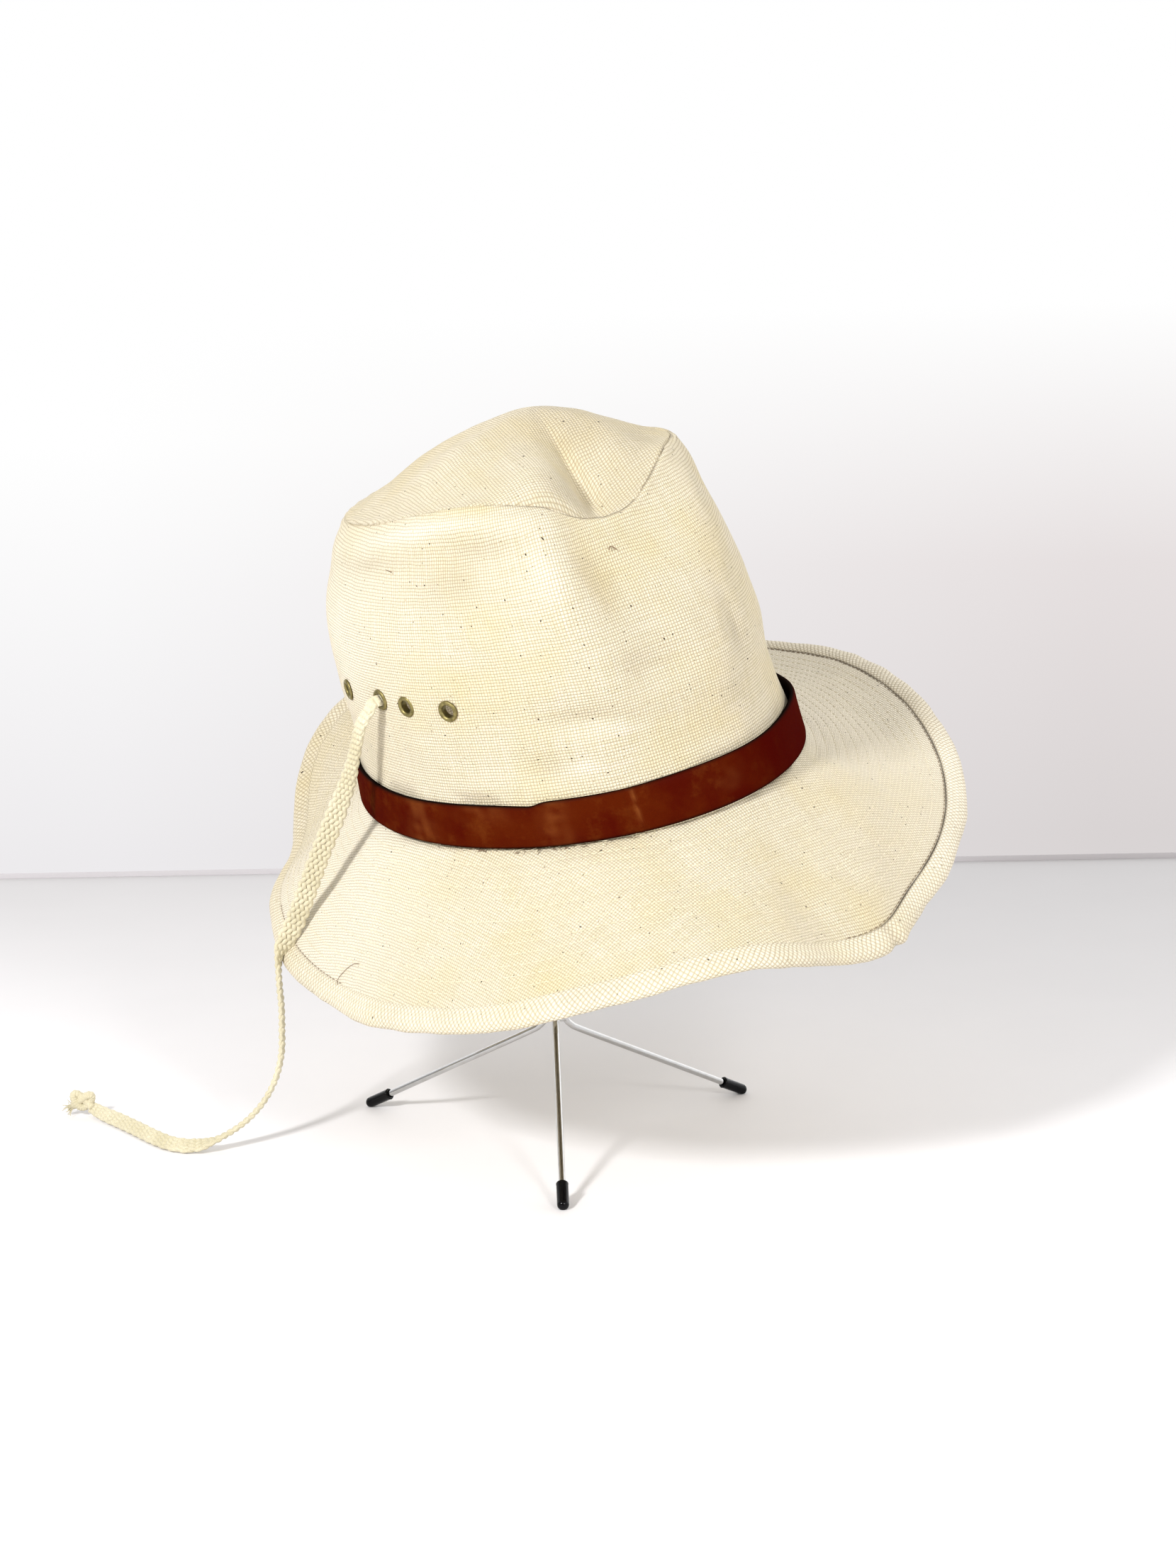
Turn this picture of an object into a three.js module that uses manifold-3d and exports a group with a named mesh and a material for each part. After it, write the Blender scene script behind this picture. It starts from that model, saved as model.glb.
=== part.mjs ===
// Canvas hat with a leather band and a chin cord, resting on a plain three-legged wire stand.
// Millimetres, +Z up, the floor at z = 0. The hat's front points to -Y and its wearer's right to -X.
// Angles round the hat are in degrees: 0 at the front, 90 at the right, 180 at the back, 270 at the left.
import * as THREE from 'three';
import { mergeVertices } from 'three/addons/utils/BufferGeometryUtils.js';
import Module from 'manifold-3d';

const wasm = await Module();
wasm.setup();

// Driving dimensions
const GAP = 0.3; // clearance between neighbouring pieces
const STAND_AXIS = new THREE.Vector3(-43.93, -17.7, 0); // foot of the stand's axis, from the middle of the whole
const HAT_BASE = new THREE.Vector3(22.7, 7.3, 152.5); // middle of the crown's foot, from the stand's axis
const HAT_ROLL = 12.8; // the hat leans this far to its wearer's right
const CANVAS = 1.6; // doubled cotton canvas
const LEATHER = 2.0;
const BAND_HEIGHT = 18;
const BAND_LIFT = 0.5; // the band's lower edge above the crown's foot
const BRIM_WIDTH = 76; // from the crown to the edge, along the cloth
const HEM_WIDTH = 10;
const HEM_THICK = 4.6;
const EYELET = { hole: 5.0, barrel: 5.7, flange: 8.7, washer: 7.6, thick: 0.9 }; // diameters, flange thickness
const CORD = 3.4; // round cord of the same section as the flat braid
const KNOT = { long: 11, wide: 8 };
const WIRE = 2.7;
const RISER_OUT = 3.5; // each wire stands this far from the stand's axis
const BEND_OUT = 8.5; // and its leg bends up from this much further out
const NECK_HEIGHT = 43; // the legs start to turn upright here
const FOOT_OUT = 92; // from the axis to where a foot meets the floor
const STAND_TOP = 289.7; // middle of the wires at the top of the arms
const ARM_OUT = 40; // reach of the arms under the crown
const ARM_DROP = 18.5; // the arms' ends hang this far below their top
const SLEEVE = { diameter: 11, height: 12, bottom: 140 }; // solder sleeve round the three wires
const FOOT_TIP = { diameter: 4.7, length: 11, bore: 3.3, depth: 8, flat: 0.5 }; // flat: ground away below
const FIRST_LEG = 36.7; // angle of the leg that points towards the viewer

// How finely the cloth is divided
const COLUMNS = 56; // steps round the hat
const SIDE_ROWS = 9; // steps up the crown's side
const TIP_ROWS = 6; // steps from the seam to the peak
const BRIM_ROWS = 6; // steps across the brim

// Crown sections, by share of the side's height: reach from the axis to each of four sides
const CROWN = [
  { share: 0.0, front: 101, right: 84, back: 101, left: 84 },
  { share: 0.25, front: 95, right: 83, back: 98, left: 77 },
  { share: 0.5, front: 94, right: 84, back: 98, left: 75.5 },
  { share: 0.75, front: 85, right: 82, back: 93, left: 69 },
  { share: 1.0, front: 66, right: 66.5, back: 77, left: 60 },
];

// Height of the seam between side and tip, every 15 degrees
const SEAM = [
  { angle: 0, height: 116 },
  { angle: 15, height: 117 },
  { angle: 30, height: 126 },
  { angle: 45, height: 130 },
  { angle: 60, height: 131 },
  { angle: 75, height: 129 },
  { angle: 90, height: 126 },
  { angle: 105, height: 123 },
  { angle: 120, height: 121 },
  { angle: 135, height: 120 },
  { angle: 150, height: 119 },
  { angle: 165, height: 118 },
  { angle: 180, height: 118 },
  { angle: 195, height: 119 },
  { angle: 210, height: 120 },
  { angle: 225, height: 121 },
  { angle: 240, height: 123 },
  { angle: 255, height: 124 },
  { angle: 270, height: 126 },
  { angle: 285, height: 127 },
  { angle: 300, height: 128 },
  { angle: 315, height: 130 },
  { angle: 330, height: 130 },
  { angle: 345, height: 123 },
];

// The domed tip: its peak, and how round and how full the dome is
const PEAK = { x: 12, y: 0, height: 148 };
const DOME = { round: 0.35, fullness: 1.17 };

// Dents in the side (depth inwards) and in the tip (depth downwards); a swelling has a negative depth
const SIDE_DENTS = [
  { angle: 12, share: 0.66, depth: 3, wide: 13, tall: 0.22 },
  { angle: 28, share: 0.55, depth: -2, wide: 9, tall: 0.3 },
  { angle: 66, share: 0.74, depth: 2, wide: 22, tall: 0.14 },
  { angle: 125, share: 0.93, depth: -3, wide: 25, tall: 0.08 },
  { angle: -52, share: 0.93, depth: -2.2, wide: 22, tall: 0.08 },
];
const TIP_DENTS = [
  { angle: 12, share: 0.8, depth: 6, wide: 13, tall: 0.35 },
  { angle: 125, share: 0.5, depth: -2.6, wide: 35, tall: 0.28 },
];

// Slope of the brim below the hat's own level, at the crown and at the edge, every 20 degrees
const BRIM = [
  { angle: 0, root: 44, edge: 55 },
  { angle: 20, root: 26, edge: 38 },
  { angle: 40, root: 26, edge: 38 },
  { angle: 60, root: 36, edge: 48 },
  { angle: 80, root: 44, edge: 56 },
  { angle: 100, root: 48, edge: 60 },
  { angle: 120, root: 44, edge: 56 },
  { angle: 140, root: 36, edge: 47 },
  { angle: 160, root: 24, edge: 32 },
  { angle: 180, root: -3, edge: -4 },
  { angle: 200, root: 2, edge: -6 },
  { angle: 220, root: 5, edge: -4 },
  { angle: 240, root: 7, edge: 0 },
  { angle: 260, root: 10, edge: 0 },
  { angle: 280, root: 16, edge: 4 },
  { angle: 300, root: 30, edge: 24 },
  { angle: 320, root: 40, edge: 42 },
  { angle: 340, root: 46, edge: 53 },
];

// Waves of the brim's edge: how far it is pulled out and let down there, fading out towards the crown
const WAVES = [
  { angle: -7, out: 5, drop: 4, wide: 9 },
  { angle: 20, out: 0, drop: -2.7, wide: 12 },
  { angle: 157, out: -5, drop: 2, wide: 9 },
  { angle: 171, out: 2.5, drop: 0, wide: 7 },
];

// Eyelets of the right side, from the back to the front; the left side mirrors them
const EYELETS = [
  { angle: 110.4, height: 57.2 },
  { angle: 92.4, height: 58.5 },
  { angle: 82.6, height: 57.5 },
  { angle: 69.5, height: 56.6 },
];
const CORD_EYELET = 1; // the row of EYELETS that the cord comes out of

// The cord from inside its eyelet to its free end, from the stand's axis
const CORD_ROUTE = [
  [-69.5, 11.3, 191.6],
  [-72.1, 11.4, 191.0],
  [-75.6, 11.6, 190.0],
  [-77.0, 13.2, 186.6],
  [-78.0, 17.2, 181.0],
  [-77.0, 22.3, 173.1],
  [-74.5, 32.7, 157.5],
  [-74.2, 43.9, 140.7],
  [-74.9, 54.6, 124.2],
  [-75.3, 65.1, 107.6],
  [-76.1, 75.0, 91.2],
  [-78.1, 81.7, 79.9], // over the brim's edge
  [-79.8, 83.9, 71.9],
  [-80.5, 83.1, 63.2],
  [-81.4, 80.9, 54.0],
  [-83.5, 78.0, 45.0],
  [-86.2, 75.0, 36.0],
  [-90.5, 73.1, 27.2],
  [-96.7, 72.7, 18.8],
  [-104.2, 74.0, 12.0],
  [-112.5, 76.6, 7.0],
  [-120.5, 79.8, 4.0],
  [-127.0, 84.5, 3.0], // along the floor from here
  [-130.8, 92.0, 3.0],
  [-131.8, 102.0, 3.0],
  [-131.6, 116.0, 3.0],
  [-131.4, 132.0, 3.0],
  [-132.0, 147.0, 3.2],
  [-132.3, 155.5, 3.8],
].map((point) => new THREE.Vector3(...point));

// Materials
const finish = (color, roughness, metalness = 0) =>
  new THREE.MeshStandardMaterial({ color, roughness, metalness });
const canvasCloth = () => finish(0xe6dcc0, 0.95);
const brownLeather = () => finish(0x6a2d14, 0.42);
const agedBrass = () => finish(0x857a45, 0.45, 1);
const cottonBraid = () => finish(0xe4dcc0, 0.95);
const chromedWire = () => finish(0xc4c6c8, 0.15, 1);
const blackVinyl = () => finish(0x0e0e10, 0.25);

// Smooth curve through table rows
const rad = THREE.MathUtils.degToRad;

function throughFour(before, from, to, after, t) {
  const straight = (to - from + (from - before)) / 2;
  const bend = before - 2.5 * from + 2 * to - after / 2;
  const twist = (after - before) / 2 + 1.5 * (from - to);
  return from + t * (straight + t * (bend + t * twist));
}

/** A column of an evenly spaced table that closes on itself, at an angle round the hat. */
function around(rows, column, angle) {
  const count = rows.length;
  const place = THREE.MathUtils.euclideanModulo(angle, 360) * (count / 360);
  const i = Math.floor(place);
  const value = (k) => rows[(i + k + count) % count][column];
  return throughFour(value(-1), value(0), value(1), value(2), place - i);
}

/** A column of an evenly spaced open table, at a share from 0 to 1. */
function between(rows, column, share) {
  const last = rows.length - 1;
  const place = THREE.MathUtils.clamp(share, 0, 1) * last;
  const i = Math.min(Math.floor(place), last - 1);
  const from = rows[i][column];
  const to = rows[i + 1][column];
  const before = i > 0 ? rows[i - 1][column] : 2 * from - to;
  const after = i < last - 1 ? rows[i + 2][column] : 2 * to - from;
  return throughFour(before, from, to, after, place - i);
}

const turnBetween = (from, to) => THREE.MathUtils.euclideanModulo(to - from + 180, 360) - 180;

function dentDepth(dents, angle, share) {
  let depth = 0;
  for (const dent of dents) {
    const aside = turnBetween(dent.angle, angle) / dent.wide;
    const above = (share - dent.share) / dent.tall;
    depth += dent.depth * Math.exp(-aside * aside - above * above);
  }
  return depth;
}

// Surfaces of the hat in its own frame: z = 0 at the crown's foot
/** Outside of the crown's side; share runs from 0 at the foot to 1 at the seam. */
function sidePoint(angle, share) {
  const sin = Math.sin(rad(angle));
  const cos = Math.cos(rad(angle));
  const dent = dentDepth(SIDE_DENTS, angle, share);
  const lengthwise = between(CROWN, cos >= 0 ? 'front' : 'back', share) - dent;
  const sideways = between(CROWN, sin >= 0 ? 'right' : 'left', share) - dent;
  return new THREE.Vector3(-sideways * sin, -lengthwise * cos, share * around(SEAM, 'height', angle));
}

/** Top of the tip; share runs from 0 at the peak to 1 at the seam. */
function tipPoint(angle, share) {
  const seam = sidePoint(angle, 1);
  const spread = (x) => Math.hypot(x, DOME.round) - DOME.round;
  const rise = Math.max(0, 1 - spread(share) / spread(1)) ** DOME.fullness;
  return new THREE.Vector3(
    THREE.MathUtils.lerp(PEAK.x, seam.x, share),
    THREE.MathUtils.lerp(PEAK.y, seam.y, share),
    THREE.MathUtils.lerp(seam.z, PEAK.height, rise) - dentDepth(TIP_DENTS, angle, share),
  );
}

/** Top of the brim; reach is measured from the crown along the cloth. */
function brimPoint(angle, reach) {
  const foot = sidePoint(angle, 0);
  const outward = new THREE.Vector3(foot.x / CROWN[0].right ** 2, foot.y / CROWN[0].front ** 2, 0).normalize();
  const root = rad(around(BRIM, 'root', angle));
  const turn = rad(around(BRIM, 'edge', angle)) - root;
  const steps = 12;
  const point = foot.clone();
  for (let k = 0; k < steps; k++) {
    const slope = root + (turn * reach * (k + 0.5)) / (steps * BRIM_WIDTH);
    point.addScaledVector(outward, (Math.cos(slope) * reach) / steps);
    point.z -= (Math.sin(slope) * reach) / steps;
  }
  for (const wave of WAVES) {
    const size = (reach / BRIM_WIDTH) ** 2 * Math.exp(-((turnBetween(wave.angle, angle) / wave.wide) ** 2));
    point.addScaledVector(outward, wave.out * size);
    point.z -= wave.drop * size;
  }
  return point;
}

/** Unit vectors of a surface: along its second parameter, and square to it. */
function directions(surface, angle, place, longest) {
  const step = longest / 100;
  const low = surface(angle, Math.max(0, place - step));
  const along = surface(angle, Math.min(longest, place + step)).sub(low).normalize();
  const across = surface(angle + 0.5, place).sub(surface(angle - 0.5, place));
  const out = along.clone().cross(across).normalize();
  return { along, out };
}

const offset = (point, direction, distance) => point.clone().addScaledVector(direction, distance);

// Solids from loops of points
function meshSolid(points, triangles) {
  const geometry = new THREE.BufferGeometry();
  const flat = points.flatMap((point) => point.toArray());
  geometry.setAttribute('position', new THREE.Float32BufferAttribute(flat, 3));
  geometry.setIndex(triangles);
  geometry.computeVertexNormals();
  return geometry;
}

/** Triangles between loops of equal length, the loops being steps round the hat. */
function skinLoops(count, closed) {
  const triangles = [];
  for (let i = 0; i < COLUMNS; i++) {
    const here = i * count;
    const next = ((i + 1) % COLUMNS) * count;
    for (let j = 0; j < (closed ? count : count - 1); j++) {
      const up = (j + 1) % count;
      triangles.push(here + j, here + up, next + j, next + j, here + up, next + up);
    }
  }
  return triangles;
}

const angles = Array.from({ length: COLUMNS }, (_, i) => (360 * i) / COLUMNS);

/** A ring: the closed loop of points at each angle, joined round the hat. */
function ringSolid(loop) {
  const loops = angles.map(loop);
  return meshSolid(loops.flat(), skinLoops(loops[0].length, true));
}

/** A lid: at each angle a line of points from the middle below, round the rim, to the middle above. */
function lidSolid(below, above, line) {
  const lines = angles.map(line);
  const count = lines[0].length;
  const points = lines.flat();
  const triangles = skinLoops(count, false);
  const bottom = points.push(below) - 1;
  const top = points.push(above) - 1;
  for (let i = 0; i < COLUMNS; i++) {
    const here = i * count;
    const next = ((i + 1) % COLUMNS) * count;
    triangles.push(bottom, here, next, here + count - 1, top, next + count - 1);
  }
  return meshSolid(points, triangles);
}

const steps = (count) => Array.from({ length: count + 1 }, (_, i) => i / count);

// Joining and cutting
function toSolid(geometry) {
  const bare = geometry.clone();
  bare.deleteAttribute('normal');
  bare.deleteAttribute('uv');
  const merged = mergeVertices(bare, 1e-4);
  return new wasm.Manifold(new wasm.Mesh({
    numProp: 3,
    vertProperties: new Float32Array(merged.attributes.position.array),
    triVerts: new Uint32Array(merged.index.array),
  }));
}

function fromSolid(solid) {
  const mesh = solid.getMesh();
  const geometry = new THREE.BufferGeometry();
  geometry.setAttribute('position', new THREE.BufferAttribute(new Float32Array(mesh.vertProperties), 3));
  geometry.setIndex(new THREE.BufferAttribute(new Uint32Array(mesh.triVerts), 1));
  geometry.computeVertexNormals();
  return geometry;
}

function named(name, geometry, material) {
  const mesh = new THREE.Mesh(geometry, material);
  mesh.name = name;
  return mesh;
}

/** Turns a shape that stands on +Y so that it points along a direction, and sets it at a point. */
function aim(object, point, direction) {
  object.position.copy(point);
  object.quaternion.setFromUnitVectors(new THREE.Vector3(0, 1, 0), direction);
  return object;
}

const whole = new THREE.Group();
const hat = new THREE.Group();
hat.position.addVectors(STAND_AXIS, HAT_BASE);
hat.rotation.y = -rad(HAT_ROLL);
whole.add(hat);

// Eyelet places: right side from the table, left side mirrored
const eyeletPlaces = ['right', 'left'].flatMap((side) =>
  EYELETS.map((row, i) => {
    const angle = side === 'right' ? row.angle : 360 - row.angle;
    const share = row.height / around(SEAM, 'height', angle);
    return {
      name: `eyelet_${side}_${i + 1}`,
      point: sidePoint(angle, share),
      out: directions(sidePoint, angle, share, 1).out,
    };
  }),
);

// Crown side: a wall round the head, holed for the eyelets
function crownSide() {
  const wall = ringSolid((angle) => {
    const rows = steps(SIDE_ROWS).map((share) => ({
      point: sidePoint(angle, share),
      out: directions(sidePoint, angle, share, 1).out,
    }));
    const outside = rows.map((row) => row.point);
    const inside = rows.map((row) => offset(row.point, row.out, -CANVAS));
    return [...outside, ...inside.reverse()];
  });
  let solid = toSolid(wall);
  const drill = new THREE.CylinderGeometry(EYELET.barrel / 2 + GAP, EYELET.barrel / 2 + GAP, 6 * CANVAS, 10);
  for (const { point, out } of eyeletPlaces) {
    const bit = aim(new THREE.Object3D(), point, out);
    bit.updateMatrix();
    solid = solid.subtract(toSolid(drill.clone().applyMatrix4(bit.matrix)));
  }
  return fromSolid(solid);
}

// Crown tip: a lid whose rim faces the side's upper edge across the seam
function crownTip() {
  const inner = steps(TIP_ROWS).slice(1, -1);
  return lidSolid(
    offset(tipPoint(0, 0), new THREE.Vector3(0, 0, 1), -CANVAS),
    tipPoint(0, 0),
    (angle) => {
      const seam = directions(sidePoint, angle, 1, 1);
      const rim = offset(sidePoint(angle, 1), seam.along, GAP);
      const above = inner.map((share) => tipPoint(angle, share));
      const below = inner.map((share, i) => offset(above[i], directions(tipPoint, angle, share, 1).out, CANVAS));
      return [...below, offset(rim, seam.out, -CANVAS), rim, ...above.reverse()];
    },
  );
}

// Brim: its inner edge faces the crown's foot across the seam
function brim() {
  const reaches = steps(BRIM_ROWS).slice(1).map((share) => share * (BRIM_WIDTH - HEM_WIDTH));
  return ringSolid((angle) => {
    const foot = directions(sidePoint, angle, 0, 1);
    const root = offset(sidePoint(angle, 0), foot.along, -GAP);
    const above = reaches.map((reach) => brimPoint(angle, reach));
    const below = reaches.map((reach, i) =>
      offset(above[i], directions(brimPoint, angle, reach, BRIM_WIDTH).out, CANVAS));
    return [...above.reverse(), root, offset(root, foot.out, -CANVAS), ...below];
  });
}

// Rolled hem: an oval section whose open neck faces the brim's outer edge
function brimEdge() {
  const half = HEM_THICK / 2;
  const neck = Math.PI - Math.asin(CANVAS / HEM_THICK);
  const across = (HEM_WIDTH - GAP) / (1 - Math.cos(neck));
  const sides = 8;
  return ringSolid((angle) => {
    const reach = BRIM_WIDTH - HEM_WIDTH;
    const { along, out } = directions(brimPoint, angle, reach, BRIM_WIDTH);
    const middle = offset(offset(brimPoint(angle, reach), out, CANVAS / 2), along, GAP);
    return steps(sides).map((share) => {
      const round = neck * (2 * share - 1);
      const outwards = across * (Math.cos(round) - Math.cos(neck));
      return offset(offset(middle, along, outwards), out, -half * Math.sin(round));
    });
  });
}

// Leather band against the foot of the crown
function hatBand() {
  return ringSolid((angle) => {
    const rows = [0, 1].map((part) => {
      const share = (BAND_LIFT + part * BAND_HEIGHT) / around(SEAM, 'height', angle);
      const point = sidePoint(angle, share);
      const { out } = directions(sidePoint, angle, share, 1);
      return { inner: offset(point, out, GAP), outer: offset(point, out, GAP + LEATHER) };
    });
    return [...rows.map((row) => row.outer), ...rows.map((row) => row.inner).reverse()];
  });
}

// Eyelet: a tube through the wall with a rounded flange outside and a washer inside
function eyelet() {
  const hole = EYELET.hole / 2;
  const barrel = EYELET.barrel / 2;
  const flange = EYELET.flange / 2;
  const washer = EYELET.washer / 2;
  const back = -CANVAS - 2 * GAP; // the wall bends inwards beside the washer
  const profile = [
    [hole, back - EYELET.thick],
    [washer, back - EYELET.thick],
    [washer, back],
    [barrel, back],
    [barrel, GAP],
    [flange, GAP],
    [flange - 0.2, GAP + 0.6 * EYELET.thick],
    [(hole + flange) / 2, GAP + EYELET.thick],
    [hole, GAP + 0.5 * EYELET.thick],
  ];
  profile.push(profile[0]);
  return new THREE.LatheGeometry(profile.map((point) => new THREE.Vector2(...point)), 9);
}

// A knot: a round lump with a waist, standing on its own +Y
function knot() {
  const waist = 0.82;
  const lobes = steps(8).map((share) => {
    const round = Math.PI * share;
    const width = Math.sin(round) * (waist + (1 - waist) * Math.cos(2 * round) ** 2);
    return new THREE.Vector2((KNOT.wide / 2) * width, (-KNOT.long / 2) * Math.cos(round));
  });
  lobes[0].x = 0;
  lobes[lobes.length - 1].x = 0;
  return new THREE.LatheGeometry(lobes, 10);
}

// Tube with its steps shared out evenly between the route's points
function tube(points, diameter, sides, stepsBetween) {
  const path = new THREE.CatmullRomCurve3(points);
  path.getUtoTmapping = (share) => share;
  const section = new THREE.Shape(
    Array.from({ length: sides }, (_, i) => {
      const round = (2 * Math.PI * i) / sides;
      return new THREE.Vector2(Math.cos(round), Math.sin(round)).multiplyScalar(diameter / 2);
    }),
  );
  const extrudeSettings = { steps: stepsBetween * (points.length - 1), extrudePath: path, bevelEnabled: false };
  return new THREE.ExtrudeGeometry(section, extrudeSettings);
}

const legAngles = [0, 120, 240].map((turn) => FIRST_LEG + turn);
const legOutward = (angle) => new THREE.Vector3(-Math.sin(rad(angle)), -Math.cos(rad(angle)), 0);

// The straight leg runs from the neck down to the middle of the foot tip's round end
const footMiddle = new THREE.Vector2(FOOT_OUT, FOOT_TIP.diameter / 2 - FOOT_TIP.flat);
const legTop = new THREE.Vector2(RISER_OUT + BEND_OUT, NECK_HEIGHT);
const legSlope = legTop.clone().sub(footMiddle).normalize();

// Stand: three wires, each a leg, an upright and an arm, held by a soldered sleeve
function standFrame() {
  const wireEnd = footMiddle.clone().addScaledVector(legSlope, FOOT_TIP.length - FOOT_TIP.depth);
  const profile = [
    wireEnd,
    wireEnd.clone().lerp(legTop, 0.5),
    wireEnd.clone().lerp(legTop, 0.97),
    new THREE.Vector2(RISER_OUT + BEND_OUT * 0.45, NECK_HEIGHT + 3),
    new THREE.Vector2(RISER_OUT + BEND_OUT * 0.12, NECK_HEIGHT + 7),
    new THREE.Vector2(RISER_OUT, NECK_HEIGHT + 14),
    new THREE.Vector2(RISER_OUT, SLEEVE.bottom + SLEEVE.height / 2),
    new THREE.Vector2(RISER_OUT, STAND_TOP - 14),
    new THREE.Vector2(RISER_OUT + 0.4, STAND_TOP - 5.5),
    new THREE.Vector2(RISER_OUT + 2.6, STAND_TOP - 1.2),
    new THREE.Vector2(RISER_OUT + 7, STAND_TOP - 0.3),
    new THREE.Vector2(ARM_OUT * 0.55, STAND_TOP - ARM_DROP * 0.35),
    new THREE.Vector2(ARM_OUT * 0.82, STAND_TOP - ARM_DROP * 0.71),
    new THREE.Vector2(ARM_OUT, STAND_TOP - ARM_DROP),
  ];
  const sleeve = new THREE.CylinderGeometry(SLEEVE.diameter / 2, SLEEVE.diameter / 2, SLEEVE.height, 16);
  sleeve.rotateX(Math.PI / 2);
  sleeve.translate(0, 0, SLEEVE.bottom + SLEEVE.height / 2);
  let solid = toSolid(sleeve);
  for (const angle of legAngles) {
    const outward = legOutward(angle);
    const points = profile.map(({ x, y }) => outward.clone().multiplyScalar(x).setZ(y));
    solid = solid.add(toSolid(tube(points, WIRE, 8, 2)));
  }
  return fromSolid(solid);
}

// Foot tip: a capped tube over the wire's end, ground flat where it meets the floor
function footTip(angle) {
  const outer = FOOT_TIP.diameter / 2;
  const bore = FOOT_TIP.bore / 2;
  const domeSteps = 4;
  const profile = steps(domeSteps).map((share) => {
    const round = (Math.PI / 2) * share;
    return new THREE.Vector2(outer * Math.sin(round), -outer * Math.cos(round));
  });
  profile[0].x = 0;
  const floorOfBore = FOOT_TIP.length - FOOT_TIP.depth - GAP;
  profile.push(new THREE.Vector2(outer, FOOT_TIP.length - 0.4));
  profile.push(new THREE.Vector2(outer - 0.4, FOOT_TIP.length));
  profile.push(new THREE.Vector2(bore, FOOT_TIP.length));
  profile.push(new THREE.Vector2(bore, floorOfBore));
  profile.push(new THREE.Vector2(0, floorOfBore));
  const outward = legOutward(angle);
  const along = outward.clone().multiplyScalar(legSlope.x).setZ(legSlope.y);
  const middle = outward.clone().multiplyScalar(footMiddle.x).setZ(footMiddle.y);
  const holder = aim(new THREE.Object3D(), middle, along);
  holder.updateMatrix();
  const cap = new THREE.LatheGeometry(profile, 12).applyMatrix4(holder.matrix);
  const ground = new THREE.BoxGeometry(40, 40, 20);
  ground.translate(middle.x, middle.y, -10);
  return fromSolid(toSolid(cap).subtract(toSolid(ground)));
}

hat.add(named('crown_side', crownSide(), canvasCloth()));
hat.add(named('crown_tip', crownTip(), canvasCloth()));
hat.add(named('brim', brim(), canvasCloth()));
hat.add(named('brim_edge', brimEdge(), canvasCloth()));
hat.add(named('hat_band', hatBand(), brownLeather()));
for (const { name, point, out } of eyeletPlaces) {
  hat.add(aim(named(name, eyelet(), agedBrass()), point, out));
}

// The cord and its knots: one inside the eyelet it comes out of, one on its free end
const cordEyelet = eyeletPlaces[CORD_EYELET];
const stopDepth = CANVAS + 3 * GAP + EYELET.thick + KNOT.wide / 2;
const stopKnot = named('cord_stop_knot', knot(), cottonBraid());
stopKnot.position.copy(offset(cordEyelet.point, cordEyelet.out, -stopDepth));
hat.add(stopKnot);

const loose = new THREE.Group();
loose.position.copy(STAND_AXIS);
whole.add(loose);
loose.add(named('chin_cord', tube(CORD_ROUTE, CORD, 8, 2), cottonBraid()));
const cordEnd = CORD_ROUTE[CORD_ROUTE.length - 1];
const endDirection = cordEnd.clone().sub(CORD_ROUTE[CORD_ROUTE.length - 2]).normalize();
const endKnot = named('cord_end_knot', knot(), cottonBraid());
loose.add(aim(endKnot, offset(cordEnd, endDirection, KNOT.long / 2 + GAP), endDirection));

loose.add(named('stand_frame', standFrame(), chromedWire()));
legAngles.forEach((angle, i) => loose.add(named(`foot_tip_${i + 1}`, footTip(angle), blackVinyl())));

export default whole;
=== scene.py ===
"""Looks of a canvas hat that rests on a wire stand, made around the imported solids.

Sizes are millimetres until a mesh is made, +Z is up and the floor is at z = 0. The hat's front points to -Y
and its wearer's right to -X. Angles round the hat are in degrees: 0 at the front, 90 at its right, 180 at its
back and 270 at its left.
"""
import math

import bpy
import numpy as np
from mathutils import Matrix, Vector


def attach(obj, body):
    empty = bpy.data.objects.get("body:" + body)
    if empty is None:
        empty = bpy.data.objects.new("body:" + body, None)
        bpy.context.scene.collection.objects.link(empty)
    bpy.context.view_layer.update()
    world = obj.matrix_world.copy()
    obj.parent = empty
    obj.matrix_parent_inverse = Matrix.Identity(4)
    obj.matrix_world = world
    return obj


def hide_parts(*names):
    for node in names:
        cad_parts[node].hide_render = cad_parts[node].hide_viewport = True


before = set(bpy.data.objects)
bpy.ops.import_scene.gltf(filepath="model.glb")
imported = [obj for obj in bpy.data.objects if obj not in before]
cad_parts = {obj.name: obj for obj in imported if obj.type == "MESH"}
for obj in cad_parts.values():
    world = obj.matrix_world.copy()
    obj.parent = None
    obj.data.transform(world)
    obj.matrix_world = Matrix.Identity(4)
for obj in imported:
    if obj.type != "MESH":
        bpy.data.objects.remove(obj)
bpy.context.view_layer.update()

MM = 0.001  # metres in a millimetre
BODY = "root"
CLOTH_MAP = "cloth_mm"  # UV map that holds millimetres along the cloth

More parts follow.
